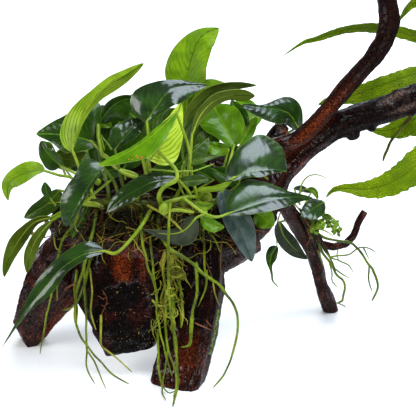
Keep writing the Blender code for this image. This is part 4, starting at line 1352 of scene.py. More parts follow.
@dataclass
class Driftwood:
    """The forked root wood: remeshed fine from its limbs, roughened along its grain and stained. Cuts are
    planes that the left leg is split along, each through three places of the view, and knobs are balls by
    place and radius. The layers are sizes, seeds and heights of random fields."""

    voxel: float = 1.35
    swelling: float = 0.4
    most_triangles: int = 192000
    leg_corner: tuple = (92, 232)
    leg_middle: tuple = (46, 296, 32)
    leg_fade: float = 30.0
    split_share: float = 0.92
    cuts: tuple = (
        ((56, 284, 2), (29, 334, 30), (84, 297, 34)),
        ((22, 286, 12), (13, 320, 30), (30, 280, 60)),
        ((84, 293, 0), (44, 338, 0), (44, 338, 80)),
        ((13, 324, 0), (26, 345, 0), (26, 345, 90)),
    )
    knobs: tuple = (
        (353, 134, 44, 6.5), (372, 128, 44, 4.0), (338, 116, 34, 5.0), (299, 158, 34, 4.5),
        (412, 112, 44, 5.0), (398, 94, 40, 5.5), (332, 318, 136, 5.0),
    )
    groove_layers: tuple = ((3.4, 1, 0.55), (7.5, 2, 0.9))
    lump_layers: tuple = ((19.0, 3, 1.1), (8.0, 4, 0.6))
    grit_layers: tuple = ((2.6, 5, 0.38), (4.4, 6, 0.32))
    saw_depth: float = 1.2
    foot_height: float = 6.0
    sawn_face: Patch = Patch((128, 316), (31, 46), 1.0, 0.05)
    worn: tuple = (
        Patch((131, 266), (17, 20), 0.9, 0.25), Patch((168, 252), (9, 12), 0.5, 0.4),
        Patch((61, 317), (32, 6), 0.4, 0.4, -52), Patch((287, 131), (3, 5), 0.9, 0.4),
        Patch((183, 354), (17, 20), 0.3, 0.6), Patch((318, 122), (42, 8), 0.35, 0.5, -47),
    )
    bleached: tuple = (
        Patch((402, 100), (18, 9), 0.6, 0.5, -18), Patch((268, 248), (26, 8), 0.25, 0.6, -38),
        Patch((281, 129), (4, 4), 0.7, 0.5),
    )
    # Black wood, and painted shade: the crown under the clump's leaves is painted near black
    black: tuple = (
        Patch((185, 290), (34, 62), 0.9, 0.5), Patch((128, 320), (38, 50), 0.5, 0.4),
        Patch((150, 205), (105, 34), 0.95, 0.4), Patch((92, 300), (14, 50), 0.5, 0.5),
        Patch((365, 112), (75, 28), 0.8, 0.4, -20), Patch((274, 131), (6, 7), 0.8, 0.4),
    )

    def build(self) -> bpy.types.Object:
        """Makes the wood as one piece.

        Returns:
            The wood, marked for its finish.
        """
        copies = []
        for name in WOOD_NODES:
            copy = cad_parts[name].copy()
            copy.data = copy.data.copy()
            copy.hide_render = False
            bpy.context.scene.collection.objects.link(copy)
            copy.parent = None
            copies.append(copy)
        copies += [add_ball(place, radius, 3) for *place, radius in self.knobs]
        wood = join_pieces("driftwood", copies)
        for key in list(wood.keys()):
            del wood[key]
        merge_doubles(wood, CAD_SEAM)
        apply_modifier(wood, "DISPLACE", strength=self.swelling * MM, mid_level=0.0)
        apply_modifier(wood, "REMESH", mode="VOXEL", voxel_size=self.voxel * MM)
        branches = wood.vertex_groups.new(name="branches")
        smooth_limb = self.nearest_limb(points_of(wood.data))[1] < 0.95
        branches.add([int(i) for i in np.nonzero(smooth_limb)[0]], 1.0, "REPLACE")
        apply_modifier(wood, "SMOOTH", factor=0.5, iterations=4)
        apply_modifier(wood, "SMOOTH", factor=0.5, iterations=8, vertex_group="branches")
        self.split_flat(wood)
        self.roughen(wood)
        kept = self.most_triangles / (2.0 * len(wood.data.polygons))
        apply_modifier(wood, "DECIMATE", ratio=min(1.0, kept))
        self.stain(wood)
        return wood

    def split_flat(self, wood: bpy.types.Object) -> None:
        """Splits the left leg off flat along its cuts.

        Args:
            wood: the smooth wood.
        """
        points = points_of(wood.data)
        across, down, _ = VIEW.seen_as(points).T
        right_edge, top = self.leg_corner
        leg = (across < right_edge) & (down > top)
        share = np.clip((down - top) / self.leg_fade, 0.0, 1.0) * leg
        middle = np.array(VIEW.place(*self.leg_middle))
        for cut in self.cuts:
            first, second, third = (np.array(VIEW.place(*place)) for place in cut)
            outwards = unit(np.cross(second - first, third - first))
            outwards = outwards * np.sign((first - middle) @ outwards)
            over = np.maximum((points - first) @ outwards, 0.0)
            points = points - outwards * (over * share * self.split_share)[:, None]
        set_points(wood.data, points)

    def nearest_limb(self, points: np.ndarray) -> tuple[np.ndarray, np.ndarray]:
        """Grain marks and roughness at points of the wood.

        Args:
            points: rows of x, y, z in metres.

        Returns:
            Rows of millimetres aside, aside and along the nearest limb, and the limb's roughness.
        """
        best = np.full(len(points), np.inf)
        marks = np.zeros((len(points), 3))
        rough = np.ones(len(points))
        for number, limb in enumerate(LIMBS):
            line = placed_line(limb.stations, 6)
            along = headings(line)
            faces = carried_faces(along)
            lefts = np.cross(faces, along)
            run = run_of(line)
            for k in range(len(line)):
                offset = points - line[k]
                far = np.einsum("ij,ij->i", offset, offset)
                closer = far < best
                best[closer] = far[closer]
                part = offset[closer]
                forward = run[k] + part @ along[k] + number * LIMB_SHIFT
                marks[closer] = np.stack([part @ lefts[k], part @ faces[k], forward], axis=1)
                rough[closer] = limb.roughness
        return marks / MM, rough

    def roughen(self, wood: bpy.types.Object) -> None:
        """Cuts grooves along the grain, adds lumps and grit, and keeps the feet level.

        Args:
            wood: the wood, smooth and split.
        """
        points = points_of(wood.data)
        normals = points_of(wood.data, "normal")
        grain, rough = self.nearest_limb(points)
        sawn = self.sawn_share(points, normals)
        grooves = layered(grain * GRAIN_DRAW, self.groove_layers)
        lumps = layered(points / MM, self.lump_layers)
        grit = layered(points / MM, self.grit_layers)
        height = (grooves * (1.0 - sawn * 0.9) + lumps * (1.0 - sawn * 0.6)) * rough
        height = height + grit * (0.35 + 0.65 * rough)
        height = height - self.saw_depth * sawn
        foot = np.clip(points[:, 2] / (self.foot_height * MM), 0.15, 1.0)
        points = points + normals * (height * foot * MM)[:, None]
        points[:, 2] = np.maximum(points[:, 2], 0.0)
        set_points(wood.data, points)

    def sawn_share(self, points: np.ndarray, normals: np.ndarray) -> np.ndarray:
        """How far points lie on the sawn face of the middle block, under its wavering arc.

        Args:
            points: rows of x, y, z in metres.
            normals: their normals.

        Returns:
            1 on the face, 0 off it.
        """
        seen = VIEW.seen_as(points)
        across, down, depth = seen.T
        facing = np.clip(-(normals @ np.array(VIEW.look)), 0.0, 1.0)
        arc = 281 + 0.010 * (across - 132) ** 2 + 2.0 * np.sin(across * 0.45)
        under_arc = np.clip((down - arc) / 2.5, 0.0, 1.0)
        return patch_shares(seen, (self.sawn_face,)) * under_arc * (facing > 0.2) * (depth < 0)

    def stain(self, wood: bpy.types.Object) -> None:
        """Marks the wood's grain, where it is sawn, worn, bleached, red and mossy, and black wood and painted
        shade.

        Args:
            wood: the wood in its last shape.
        """
        mesh = wood.data
        points = points_of(mesh)
        grain, rough = self.nearest_limb(points)
        seen = VIEW.seen_as(points)
        across, down, depth = seen.T
        drawn = grain * GRAIN_DRAW
        sawn = self.sawn_share(points, points_of(mesh, "normal"))
        worn = patch_shares(seen, self.worn) * np.clip(0.5 + 0.9 * cloud(drawn, 9.0, 9), 0.0, 1.0)
        pale = patch_shares(seen, self.bleached) * np.clip(0.4 + 1.2 * cloud(drawn, 6.0, 10), 0.0, 1.0)
        # The black patches hold black wood and painted shade, the crown under the leaves painted near black
        # The branches darken as they rise
        black = patch_shares(seen, self.black) + np.clip((150 - down) / 90, 0, 1.0) * (across > 260)
        black *= np.clip(0.85 + 0.4 * cloud(points / MM, 14.0, 12), 0.0, 1.0)
        # The smoothest limbs are the reddest
        red = np.where(rough < 0.48, 0.9, np.where(rough < 0.7, 0.4, 0.25))
        red = red * np.clip(0.7 + 0.6 * cloud(drawn, 12.0, 13), 0.0, 1.0)
        # Moss grows along the front leg's right edge
        below = down - 305
        edge = 220.0 - 0.165 * below - 0.0005 * below**2
        moss = np.clip(1.6 - np.abs(across - edge + 0.4) / 1.2, 0.0, 1.0) * (np.abs(down - 332) < 22)
        moss = moss * (depth < 0) * np.clip(0.6 + 0.9 * cloud(points / MM, 3.0, 14), 0.0, 1.0)
        mark_points(mesh, "grain", grain)
        mark_points(mesh, "stain", np.stack([sawn, np.clip(worn, 0, 1), np.clip(pale, 0, 1)], axis=1))
        mark_points(mesh, "cast", np.clip(np.stack([black, red, moss], axis=1), 0, 1))

    def dress(self, wood: bpy.types.Object) -> None:
        """Puts the wet wood finish on and hands the piece over."""
        shade(wood, 180.0)
        finish_piece(wood, WOOD_NODES, WetWoodFinish())


@dataclass
class Skin:
    """Finds a piece's front from the eye, so that strands and dots can lie on it. Farthest and nearest are
    the depths between which strands are laid, fade how many points they take to hang free, and floor gap
    their least height over the floor in millimetres."""

    tree: BVHTree
    farthest: float = 40.0
    nearest: float = -160.0
    fade: float = 8.0
    floor_gap: float = 1.5

    @classmethod
    def of(cls, piece: bpy.types.Object) -> "Skin":
        """The skin of a built piece."""
        return cls(BVHTree.FromObject(piece, bpy.context.evaluated_depsgraph_get()))

    def front(self, across: float, down: float) -> float | None:
        """Depth of the piece's front at a place in the view, or None beside it.

        Args:
            across: millimetres from the view's left edge.
            down: millimetres from its upper edge.

        Returns:
            The depth in millimetres, or None.
        """
        ray = (VIEW.place(across, down, 0.0) - VIEW.eye).normalized()
        hit = self.tree.ray_cast(VIEW.eye, ray)[0]
        if hit is None:
            return None
        return float(VIEW.seen_as(np.array([hit]))[0, 2])

    def lay(self, rows: Rows, clearance: float, hang: float) -> np.ndarray:
        """Gives a line across the view its depth, just in front of the piece.

        Args:
            rows: (across, down) of the line's points.
            clearance: millimetres between the piece and the line.
            hang: depth where there is nothing behind.

        Returns:
            World points in metres.
        """
        line = even_line(smooth_line(rows, 6), max(12, len(rows) * 4))
        depths = []
        for across, down in line:
            front = self.front(across, down)
            depths.append(np.nan if front is None or front > self.farthest else front - clearance)
        depth = np.array(depths)
        known = ~np.isnan(depth)
        if known.any():
            at = np.arange(len(depth))
            depth = np.interp(at, at[known], depth[known])
            gap = np.array([0 if known[i] else min(abs(i - j) for j in at[known]) for i in at])
            share = np.clip(gap / self.fade, 0.0, 1.0)
            depth = depth * (1 - share) + np.minimum(depth, hang) * share
        else:
            depth = np.full(len(depth), hang)
        foremost = np.array([depth[max(0, i - 1) : i + 2].min() for i in range(len(depth))])
        points = []
        for (across, down), deep in zip(line, softened(foremost)):
            point = VIEW.place(across, down, deep)
            while point.z < self.floor_gap * MM and deep > self.nearest:
                deep -= 1.0
                point = VIEW.place(across, down, deep)
            points.append(point)
        return np.array(points)


# Roots and stems


class Strand(NamedTuple):
    """A root or shoot seen in the view: its points, across and down or with a depth of their own, and its
    radius at both ends. Clearance is how far it lies before the wood, hang its depth where it hangs free."""

    points: tuple
    radius: float
    end_radius: float
    clearance: float = 4.0
    hang: float = -46.0


# How far apart a strand's kinks and swellings lie in millimetres, and where its three kinks are read
KINK_LENGTH = 11.0
SWELL_LENGTH = 9.0
KINK_PLACES = (3.3, 9.7, 15.1)


def strand_tube(line: np.ndarray, radius: float, end_radius: float, sides: int, seed: int,
                rings: int = 0, uneven: float = 0.12) -> np.ndarray:
    """Rings of a root with slight kinks and swellings.

    Args:
        line: its middle line in metres.
        radius: its first radius in millimetres.
        end_radius: its last radius in millimetres.
        sides: how many sides it has.
        seed: gives it kinks and swellings of its own.
        rings: how many rings it has, or 0 for one each 3 mm.
        uneven: how much its radius varies.

    Returns:
        The rings, as tube_places gives them.
    """
    length = length_of(line)
    rings = rings or max(8, int(length / 3.0))
    line = even_line(line, rings)
    share = np.linspace(0.0, 1.0, rings)
    run, still = share * length, share * 0
    free = np.sin(share * math.pi)[:, None] * radius * 0.8 * MM
    kinks = [cloud(np.stack([run, still + k, still], 1), KINK_LENGTH, seed + 3) for k in KINK_PLACES]
    line = line + np.stack(kinks, axis=1) * free
    swell = 1.0 + uneven * cloud(np.stack([run, still, still], 1), SWELL_LENGTH, seed)
    radii = (radius + (end_radius - radius) * share) * swell * MM
    radii[-2:] *= (0.85, 0.55)
    radii[0] *= 0.7
    return tube_places(line, radii, sides)


def finish_bundle(name: str, tubes: Sequence[np.ndarray], finish: StemFinish,
                  nodes: Iterable[str] = ()) -> None:
    """Joins tubes into a finished piece.

    Args:
        name: the piece's name.
        tubes: its tubes, as bundle takes them.
        finish: what it is dressed in.
        nodes: the nodes it replaces.
    """
    made = bundle(name, tubes)
    shade(made)
    finish_piece(made, nodes, finish)


ROUTED_ROOTS = {
    "long_right_root": (
        ((158, 206, -34), (159, 230, -46), (170, 248, -50), (186, 258, -52), (205, 274, -52), (222, 288, -50),
         (235, 306, -46), (238, 328, -46), (232, 355, -46), (225, 373, -50), (213, 388, -54)), 2.4, 1.1),
    "left_thick_root": (
        ((98, 204, -29), (92, 236, -47), (84, 266, -46), (75, 300, -46), (75, 322, -46), (84, 342, -48),
         (97, 358, -52), (113, 375, -58), (129, 384, -60)), 2.0, 1.0),
    "left_pale_root": (
        ((80, 204, -22), (75, 222, -52), (61, 242, -50), (54, 276, -44), (50, 300, -42), (44, 330, -42),
         (40, 354, -42)), 1.9, 0.8),
    "middle_root_strand": (
        ((143, 206, -35), (141, 228, -50), (147, 262, -56), (155, 290, -60), (158, 320, -64), (164, 348, -66),
         (172, 376, -68)), 1.7, 0.8),
    "front_root_strand": (
        ((170, 208, -33), (170, 204, -60), (169, 224, -75), (168, 275, -71), (170, 310, -68), (175, 345, -70),
         (178, 382, -74), (174, 404, -82)), 1.8, 0.9),
}

GREEN_STRANDS = (
    Strand(((77, 270), (75, 290), (77, 309), (76, 327)), 1.5, 0.9),
    Strand(((84, 262), (85, 285), (86, 321), (87, 341), (86, 360), (88, 372), (95, 384)), 1.5, 0.8),
    Strand(((87, 350), (97, 367), (102, 379), (106, 389)), 1.0, 0.6, 4.0, -50.0),
    Strand(((166, 290), (166, 327), (168, 347), (174, 367), (179, 382)), 1.5, 0.9, 6.0, -62.0),
    Strand(((172, 290), (174, 327), (176, 354), (177, 379), (173, 406)), 1.8, 0.9, 7.0, -64.0),
    Strand(((158, 330), (158, 352), (160, 374), (163, 394), (166, 400)), 1.4, 0.7, 6.0, -60.0),
    Strand(((168, 350), (165, 370), (163, 384), (169, 393), (175, 391)), 1.2, 0.7, 6.0, -64.0),
    Strand(((196, 262), (197, 291), (193, 311), (191, 343), (181, 347)), 1.7, 1.0, 4.0, -50.0),
    Strand(((191, 316), (191, 340), (187, 346)), 1.4, 0.8, 5.0, -50.0),
    Strand(((207, 270), (206, 286), (198, 307)), 1.1, 0.6, 3.5, -48.0),
    Strand(((203, 226), (204, 250), (205, 268), (206, 280)), 1.3, 0.9, 4.0, -48.0),
    Strand(((208, 232), (215, 240), (220, 252)), 1.2, 0.7, 4.0, -46.0),
    Strand(((178, 262), (180, 290), (181, 315), (181, 328)), 1.4, 0.8, 4.0, -52.0),
    Strand(((150, 237), (152, 262), (155, 285), (158, 302)), 1.3, 0.8, 4.0, -54.0),
    Strand(((62, 262), (58, 285), (57, 301)), 1.0, 0.6, 3.5, -44.0),
    Strand(((92, 250), (88, 270), (82, 292), (72, 307), (62, 310)), 1.5, 1.0, 3.0, -46.0),
)

PALE_STRANDS = (
    Strand(((101, 315), (101, 334), (101, 345), (106, 350), (119, 360), (132, 372)), 1.3, 0.7, 4.0, -50.0),
    Strand(((90, 268), (92, 290), (91, 310), (96, 330)), 1.0, 0.7, 3.0, -46.0),
    Strand(((165, 250), (163, 270), (166, 290), (164, 310)), 1.6, 1.2, 3.5, -58.0),
    Strand(((171, 255), (173, 275), (170, 292), (174, 312), (170, 330)), 1.4, 0.9, 4.0, -58.0),
    Strand(((160, 262), (165, 282), (160, 300), (166, 318)), 1.2, 0.8, 4.0, -58.0),
    Strand(((152, 300), (160, 306), (172, 303), (180, 300)), 1.3, 0.9, 5.0, -60.0),
    Strand(((182, 300), (183, 312), (182, 326)), 1.3, 0.9, 4.0, -56.0),
    Strand(((147, 205), (160, 213), (174, 222), (183, 232)), 1.3, 1.0, 20.0, -60.0),
    Strand(((54, 233), (56, 247), (62, 252)), 1.0, 0.6, 4.0, -40.0),
    Strand(((213, 283), (217, 300), (220, 306)), 0.9, 0.5, 3.0, -46.0),
)

BROWN_STRANDS = (
    Strand(((88, 218), (98, 224), (112, 230)), 1.0, 0.6, 3.0),
    Strand(((222, 232), (221, 250), (220, 279)), 0.8, 0.5, 1.5),
    Strand(((29, 228), (33, 233), (39, 241)), 1.7, 2.2, 3.0, -16.0),
    Strand(((47, 219), (44, 228), (43, 238)), 2.0, 2.3, 3.0, -16.0),
    Strand(((175, 258), (181, 268), (187, 282)), 0.7, 0.4, 2.0),
    Strand(((194, 246), (200, 252), (206, 262), (214, 283)), 0.6, 0.4, 2.0),
)

DRY_STRANDS = (
    Strand(((97, 244), (98, 239), (103, 238), (109, 239.5), (114, 241)), 1.6, 1.0, 6.0),
    Strand(((64, 290), (69, 286), (74, 284), (77, 281), (79, 284), (76, 287)), 1.1, 0.8, 6.0, -50.0),
    Strand(((102, 290), (106, 296), (107, 302), (104, 309), (100, 318)), 0.5, 0.3, 1.0),
    Strand(((98, 296), (103, 299), (108, 297)), 0.5, 0.3, 1.0),
    Strand(((101, 305), (105, 306), (108, 302)), 0.5, 0.3, 1.0),
    Strand(((195, 323), (204, 327), (212, 331)), 0.8, 0.5, 1.0),
    Strand(((206, 320), (210, 325), (215, 327)), 0.6, 0.4, 1.0),
)

SMALL_PLANT_STRANDS = (
    Strand(((313, 230, 52), (323, 237, 56), (332, 239.5, 59), (340, 241, 62), (350, 243.5, 65),
            (358, 248, 66), (364, 256, 67), (368, 264, 68), (373, 269, 70), (377, 278, 72), (378, 287, 72),
            (372, 301, 74)), 1.4, 0.9),
    Strand(((317, 237, 57), (322, 252, 62), (331, 264, 64), (336, 274, 67), (342, 279, 70), (345, 286, 75),
            (343, 296, 81), (342, 301, 84), (337, 303, 86)), 1.4, 0.9),
    Strand(((320, 240, 58), (326, 252, 62), (332, 262, 64), (336, 273, 67)), 0.9, 0.7),
    Strand(((369, 266, 68), (369, 280, 70), (371, 288, 70), (372, 291, 70)), 0.9, 0.6),
    Strand(((314, 230, 48), (312, 233, 50), (318, 241, 54), (324, 250, 58), (330, 257, 60), (338, 260, 62)),
           0.9, 0.7),
    Strand(((330, 257, 60), (342, 255, 64), (350, 254, 65), (357, 249, 65), (363, 247.5, 66), (370, 249, 67),
            (377, 253, 68)), 0.9, 0.5),
    Strand(((363, 247.5, 66), (366, 253, 66), (369, 259, 66)), 0.8, 0.5),
    Strand(((338, 249, 63), (337, 256, 62), (339, 260, 62)), 0.7, 0.5),
    Strand(((336, 259, 62), (345, 263, 64), (350, 267, 66), (353, 272, 68)), 0.8, 0.5),
    Strand(((330, 266, 64), (338, 271, 66), (344, 275, 68), (349, 278, 70)), 0.8, 0.5),
    Strand(((329, 262, 63), (332, 273, 66), (332, 281, 68), (337, 287, 70)), 0.8, 0.5),
    Strand(((337, 303, 86), (342, 305, 87), (346, 307, 88)), 0.6, 0.4),
    Strand(((318, 250, 62), (322, 262, 66), (325, 270, 68)), 0.6, 0.4),
)

# A bare green shoot over the leg, then short dry bits
LEG_SHOOTS = (
    Strand(((299, 204, 40), (300, 192, 40), (302, 184, 40), (306, 178, 40), (312, 175, 40), (319, 175, 40),
            (327, 178.5, 40)), 1.0, 0.5),
    Strand(((304, 206, 38), (308, 198, 36), (312, 192, 36)), 1.0, 0.8),
)
TUFT_RIBS = (
    Strand(((312, 226, 46), (316, 218, 44), (325, 214, 44), (333, 218, 44), (338, 224, 46), (341, 230, 48)),
           0.9, 0.6),
    Strand(((313, 228, 46), (319, 229, 44), (326, 231, 44), (333, 236, 46)), 0.8, 0.5),
    Strand(((313, 227, 46), (321, 222, 42), (330, 224, 41), (337, 229, 42)), 0.7, 0.4),
)
LEG_FIBRES = (
    Strand(((300, 216, 36), (306, 226, 42), (312, 236, 50), (318, 246, 58)), 1.0, 0.7),
    Strand(((303, 214, 34), (310, 226, 42), (319, 237, 50), (324, 250, 58)), 0.8, 0.5),
    Strand(((298, 220, 38), (303, 232, 48), (310, 243, 58), (312, 252, 64)), 0.7, 0.5),
    Strand(((308, 214, 38), (305, 226, 44), (309, 238, 52), (306, 249, 60)), 0.6, 0.5),
    Strand(((316, 222, 40), (312, 232, 46), (320, 243, 54), (328, 256, 60)), 0.8, 0.5),
    Strand(((320, 224, 42), (317, 236, 48), (314, 246, 56)), 0.6, 0.4),
    Strand(((301, 232, 50), (308, 236, 52), (316, 234, 50)), 0.5, 0.4),
    Strand(((300, 244, 58), (306, 250, 62), (312, 249, 62)), 0.5, 0.3),
    Strand(((304, 212, 36), (312, 226, 42), (322, 240, 52), (330, 256, 60)), 0.9, 0.6),
    Strand(((300, 208, 36), (303, 220, 42), (312, 232, 50), (316, 250, 62)), 0.9, 0.6),
)
LEG_ROOTLETS = (
    Strand(((303, 218, 38), (310, 226, 42), (317, 236, 50), (323, 247, 58)), 0.8, 0.6),
    Strand(((307, 228, 44), (311, 236, 50), (306, 246, 56)), 0.6, 0.5),
    Strand(((312, 220, 40), (308, 230, 44), (313, 241, 52)), 0.6, 0.4),
)


@dataclass
class HangingRoots:
    """The roots that hang from the crown: five long ones and the thinner strands between them."""

    skin: Skin
    sides: int = 8
    slimness: float = 0.86

    def build(self) -> None:
        """Makes and dresses the roots by colour."""
        tubes = []
        for number, (rows, *radii) in enumerate(ROUTED_ROOTS.values()):
            radius, end_radius = (self.slimness * radius for radius in radii)
            tubes.append(strand_tube(placed_line(rows), radius, end_radius, self.sides, 20 + number))
        tubes += self.laid(GREEN_STRANDS, 40)
        finish_bundle("hanging_roots", tubes, WATER_ROOT, nodes=ROUTED_ROOTS)
        for name, strands, finish, seed in (
            ("pale_roots", PALE_STRANDS, PALE_ROOT, 70),
            ("brown_rootlets", BROWN_STRANDS, BROWN_ROOT, 90),
            ("dry_rootlets", DRY_STRANDS, DRY_ROOT, 110),
        ):
            finish_bundle(name, self.laid(strands, seed), finish)

    def laid(self, strands: Sequence[Strand], seed: int) -> list[np.ndarray]:
        """Tubes along strands that lie on the wood.

        Args:
            strands: the strands.
            seed: the first strand's seed, one less than the next one's.

        Returns:
            One tube a strand.
        """
        made = []
        for number, strand in enumerate(strands):
            line = self.skin.lay(strand.points, strand.clearance, strand.hang)
            made.append(strand_tube(line, strand.radius, strand.end_radius, self.sides, seed + number))
        return made


@dataclass
class RootTangle:
    """The felt of thin roots under the clump, and the mossy clump of curled ones in front. Felts are name,
    count, finish, radius and lowest place, and hoops are place and radius."""

    skin: Skin
    seed: int = 7
    curls: int = 120
    felts: tuple = (
        ("dark_root_felt", 210, DARK_FIBRE, 0.6, 240),
        ("brown_root_felt", 60, BROWN_ROOT, 0.5, 246),
        ("pale_root_felt", 46, PALE_ROOT, 0.55, 250),
    )
    hoops: tuple = ((176, 272, 7), (171, 292, 5))

    def build(self) -> None:
        """Makes and dresses the tangle."""
        chance = random.Random(self.seed)
        for name, count, finish, thick, low in self.felts:
            tubes = [self.felt_strand(chance, thick, low, number) for number in range(count)]
            finish_bundle(name, tubes, finish)
        tubes = [self.curl(chance, number) for number in range(self.curls)]
        tubes += [self.hoop(*row) for row in self.hoops]
        finish_bundle("mossy_root_clump", tubes, PALE_ROOT)

    def felt_strand(self, chance: random.Random, thick: float, low: float, number: int) -> np.ndarray:
        """One thin root that creeps over the crown.

        Args:
            chance: where its random numbers come from.
            thick: about its radius in millimetres.
            low: how far down the felt reaches.
            number: its number in the felt.

        Returns:
            The rings, as tube_places gives them.
        """
        across = chance.uniform(72, 230)
        down = chance.uniform(190, low - 10)
        turn = chance.uniform(-0.6, math.pi + 0.6)
        rows = []
        for _ in range(6):
            rows.append((across, down))
            turn += chance.uniform(-0.9, 0.9)
            step = chance.uniform(4, 11)
            across += math.cos(turn) * step
            down += abs(math.sin(turn)) * step * 0.8
        line = self.skin.lay(rows, chance.uniform(1.0, 12.0), -34.0)
        radius = thick * chance.uniform(0.5, 1.2)
        return strand_tube(line, radius, radius * 0.6, 5, 200 + number, rings=16)

    def curl(self, chance: random.Random, number: int) -> np.ndarray:
        """One curled strand of the mossy clump.

        Args:
            chance: where its random numbers come from.
            number: its number in the clump.

        Returns:
            The rings, as tube_places gives them.
        """
        down = chance.uniform(246, 322)
        across = chance.gauss(172 - 0.06 * (down - 250), 5.5)
        rows = []
        turn = chance.uniform(0, 2 * math.pi)
        for _ in range(7):
            rows.append((across, down))
            turn += chance.uniform(-0.8, 0.9)
            across += math.cos(turn) * chance.uniform(1.2, 3.6)
            down += (math.sin(turn) * 0.7 + 0.55) * chance.uniform(1.5, 4.5)
        line = self.skin.lay(rows, chance.uniform(1.0, 11.0), -60.0)
        return strand_tube(line, chance.uniform(0.3, 0.65), 0.25, 5, 400 + number, rings=18)

    def hoop(self, across: float, down: float, radius: float) -> np.ndarray:
        """A strand curled in a ring.

        Args:
            across: the ring's middle, from the view's left edge.
            down: the same, from its upper edge.
            radius: in millimetres.

        Returns:
            The rings, as tube_places gives them.
        """
        turns = np.linspace(0.4, 1.75 * math.pi, 9)
        rows = [(across + radius * math.cos(turn), down + 0.8 * radius * math.sin(turn)) for turn in turns]
        return strand_tube(self.skin.lay(rows, 12.0, -66.0), 1.1, 0.8, 6, 530 + int(radius), rings=20)


# Millimetres between the leaf scars of a creeping stem, and how many rings a bud has
SCAR_SPACING = 4.0
BUD_RINGS = 18


@dataclass
class Rhizomes:
    """The creeping stems, with leaf scars, and the short stalks and buds on them."""

    stems: tuple = (
        ("front_rhizome", ((70, 204, -17), (95, 204, -28), (120, 205, -33), (150, 206, -35), (180, 207, -32),
                           (205, 204, -22), (228, 203, -12)), 5.6, 4.6),
        ("back_rhizome", ((88, 186, 30), (118, 171, 29), (152, 158, 31), (192, 149, 31), (232, 152, 31)),
         5.0, 4.4),
        ("fern_rhizome", ((446, 78, 36), (468, 71, 36), (494, 63, 36)), 4.2, 3.6),
    )
    stalks: tuple = (
        ((76, 202, -34), (88, 204, -38), (104, 208, -38), 2.9, 2.6),
        ((86, 202, -44), (98, 190, -50), (114, 178, -46), 1.3, 1.1),
        ((104, 155, -26), (122, 172, -40), (138, 178, -44), 2.0, 1.8),
        ((143, 158, -62), (144, 166, -60), (147, 176, -56), 1.8, 1.8),
        ((148, 158, -62), (150, 168, -58), (150, 178, -52), 1.6, 1.6),
        ((147, 169, -62), (172, 171, -62), (195, 171, -58), 0.9, 0.8),
        ((194, 171, -58), (204, 168, -54), (214, 164, -48), 0.8, 0.7),
        ((198, 190, -42), (213, 189, -50), (228, 183, -58), 2.4, 2.2),
        ((256, 171, -46), (261, 174, -42), (268, 179, -36), 1.2, 1.0),
        ((165, 211, -62), (180, 211, -64), (194, 212, -66), 1.7, 1.6),
        ((98, 124, -14), (98, 140, -20), (104, 158, -24), 1.8, 1.8),
        ((160, 205, -50), (180, 198, -46), (210, 196, -34), 2.2, 1.8),
    )
    buds: tuple = (
        ((98, 182, -46), 3.0), ((164, 209, -62), 5.2), ((208, 197, -40), 4.0), ((222, 188, -54), 3.2),
    )

    def build(self) -> None:
        """Makes and dresses the stems, stalks and buds."""
        for name, rows, radius, end_radius in self.stems:
            tube = self.ringed(even_line(placed_line(rows), 60), radius, end_radius)
            finish_bundle(name + "_skin", [tube], RHIZOME_SKIN, (name,))
        tubes = []
        for number, (*rows, radius, end_radius) in enumerate(self.stalks):
            line = placed_line(rows, 10)
            tubes.append(strand_tube(line, radius, end_radius, 8, 600 + number, rings=20, uneven=0.06))
        for (across, down, depth), radius in self.buds:
            line = np.array([VIEW.place(across, down + k * radius, depth) for k in (-1.2, 0, 1.2)])
            line = even_line(smooth_line(line, 6), BUD_RINGS)
            share = np.linspace(-1, 1, BUD_RINGS)
            tubes.append(tube_places(line, np.sqrt(1.02 - share**2) * radius * MM, 10))
        finish_bundle("crown_stalks", tubes, LEAF_STALK)

    @staticmethod
    def ringed(line: np.ndarray, radius: float, end_radius: float) -> np.ndarray:
        """Rings of a creeping stem, with a scar every 4 mm.

        Args:
            line: its middle line in metres.
            radius: its first radius in millimetres.
            end_radius: its last radius in millimetres.

        Returns:
            The rings, as tube_places gives them.
        """
        share = np.linspace(0.0, 1.0, len(line))
        scars = 1.0 + 0.06 * np.abs(np.sin(share * length_of(line) / SCAR_SPACING * math.pi))
        radii = (radius + (end_radius - radius) * share) * scars * MM
        radii[0] *= 0.6
        radii[-1] *= 0.6
        return tube_places(line, radii, 14)


def scatter_dots(name: str, blade: bpy.types.Object, spots: Rows, radii: tuple[float, float],
                 finish: StemFinish) -> None:
    """Clusters of small round marks on a blade.

    Args:
        name: the new piece's name.
        blade: the leaf they lie on.
        spots: across, down and how many dots, for each cluster.
        radii: the smallest and the largest radius in millimetres.
        finish: what they are dressed in.
    """
    skin = Skin.of(blade)
    chance = random.Random(5)
    made = []
    for across, down, count in spots:
        for _ in range(count):
            place = (across + chance.gauss(0, 2.0), down + chance.gauss(0, 1.4))
            deep = skin.front(*place)
            if deep is not None:
                made.append(add_ball((*place, deep), chance.uniform(*radii), 2))
    dots = join_pieces(name, made)
    shade(dots, 180.0)
    finish_piece(dots, (), finish)


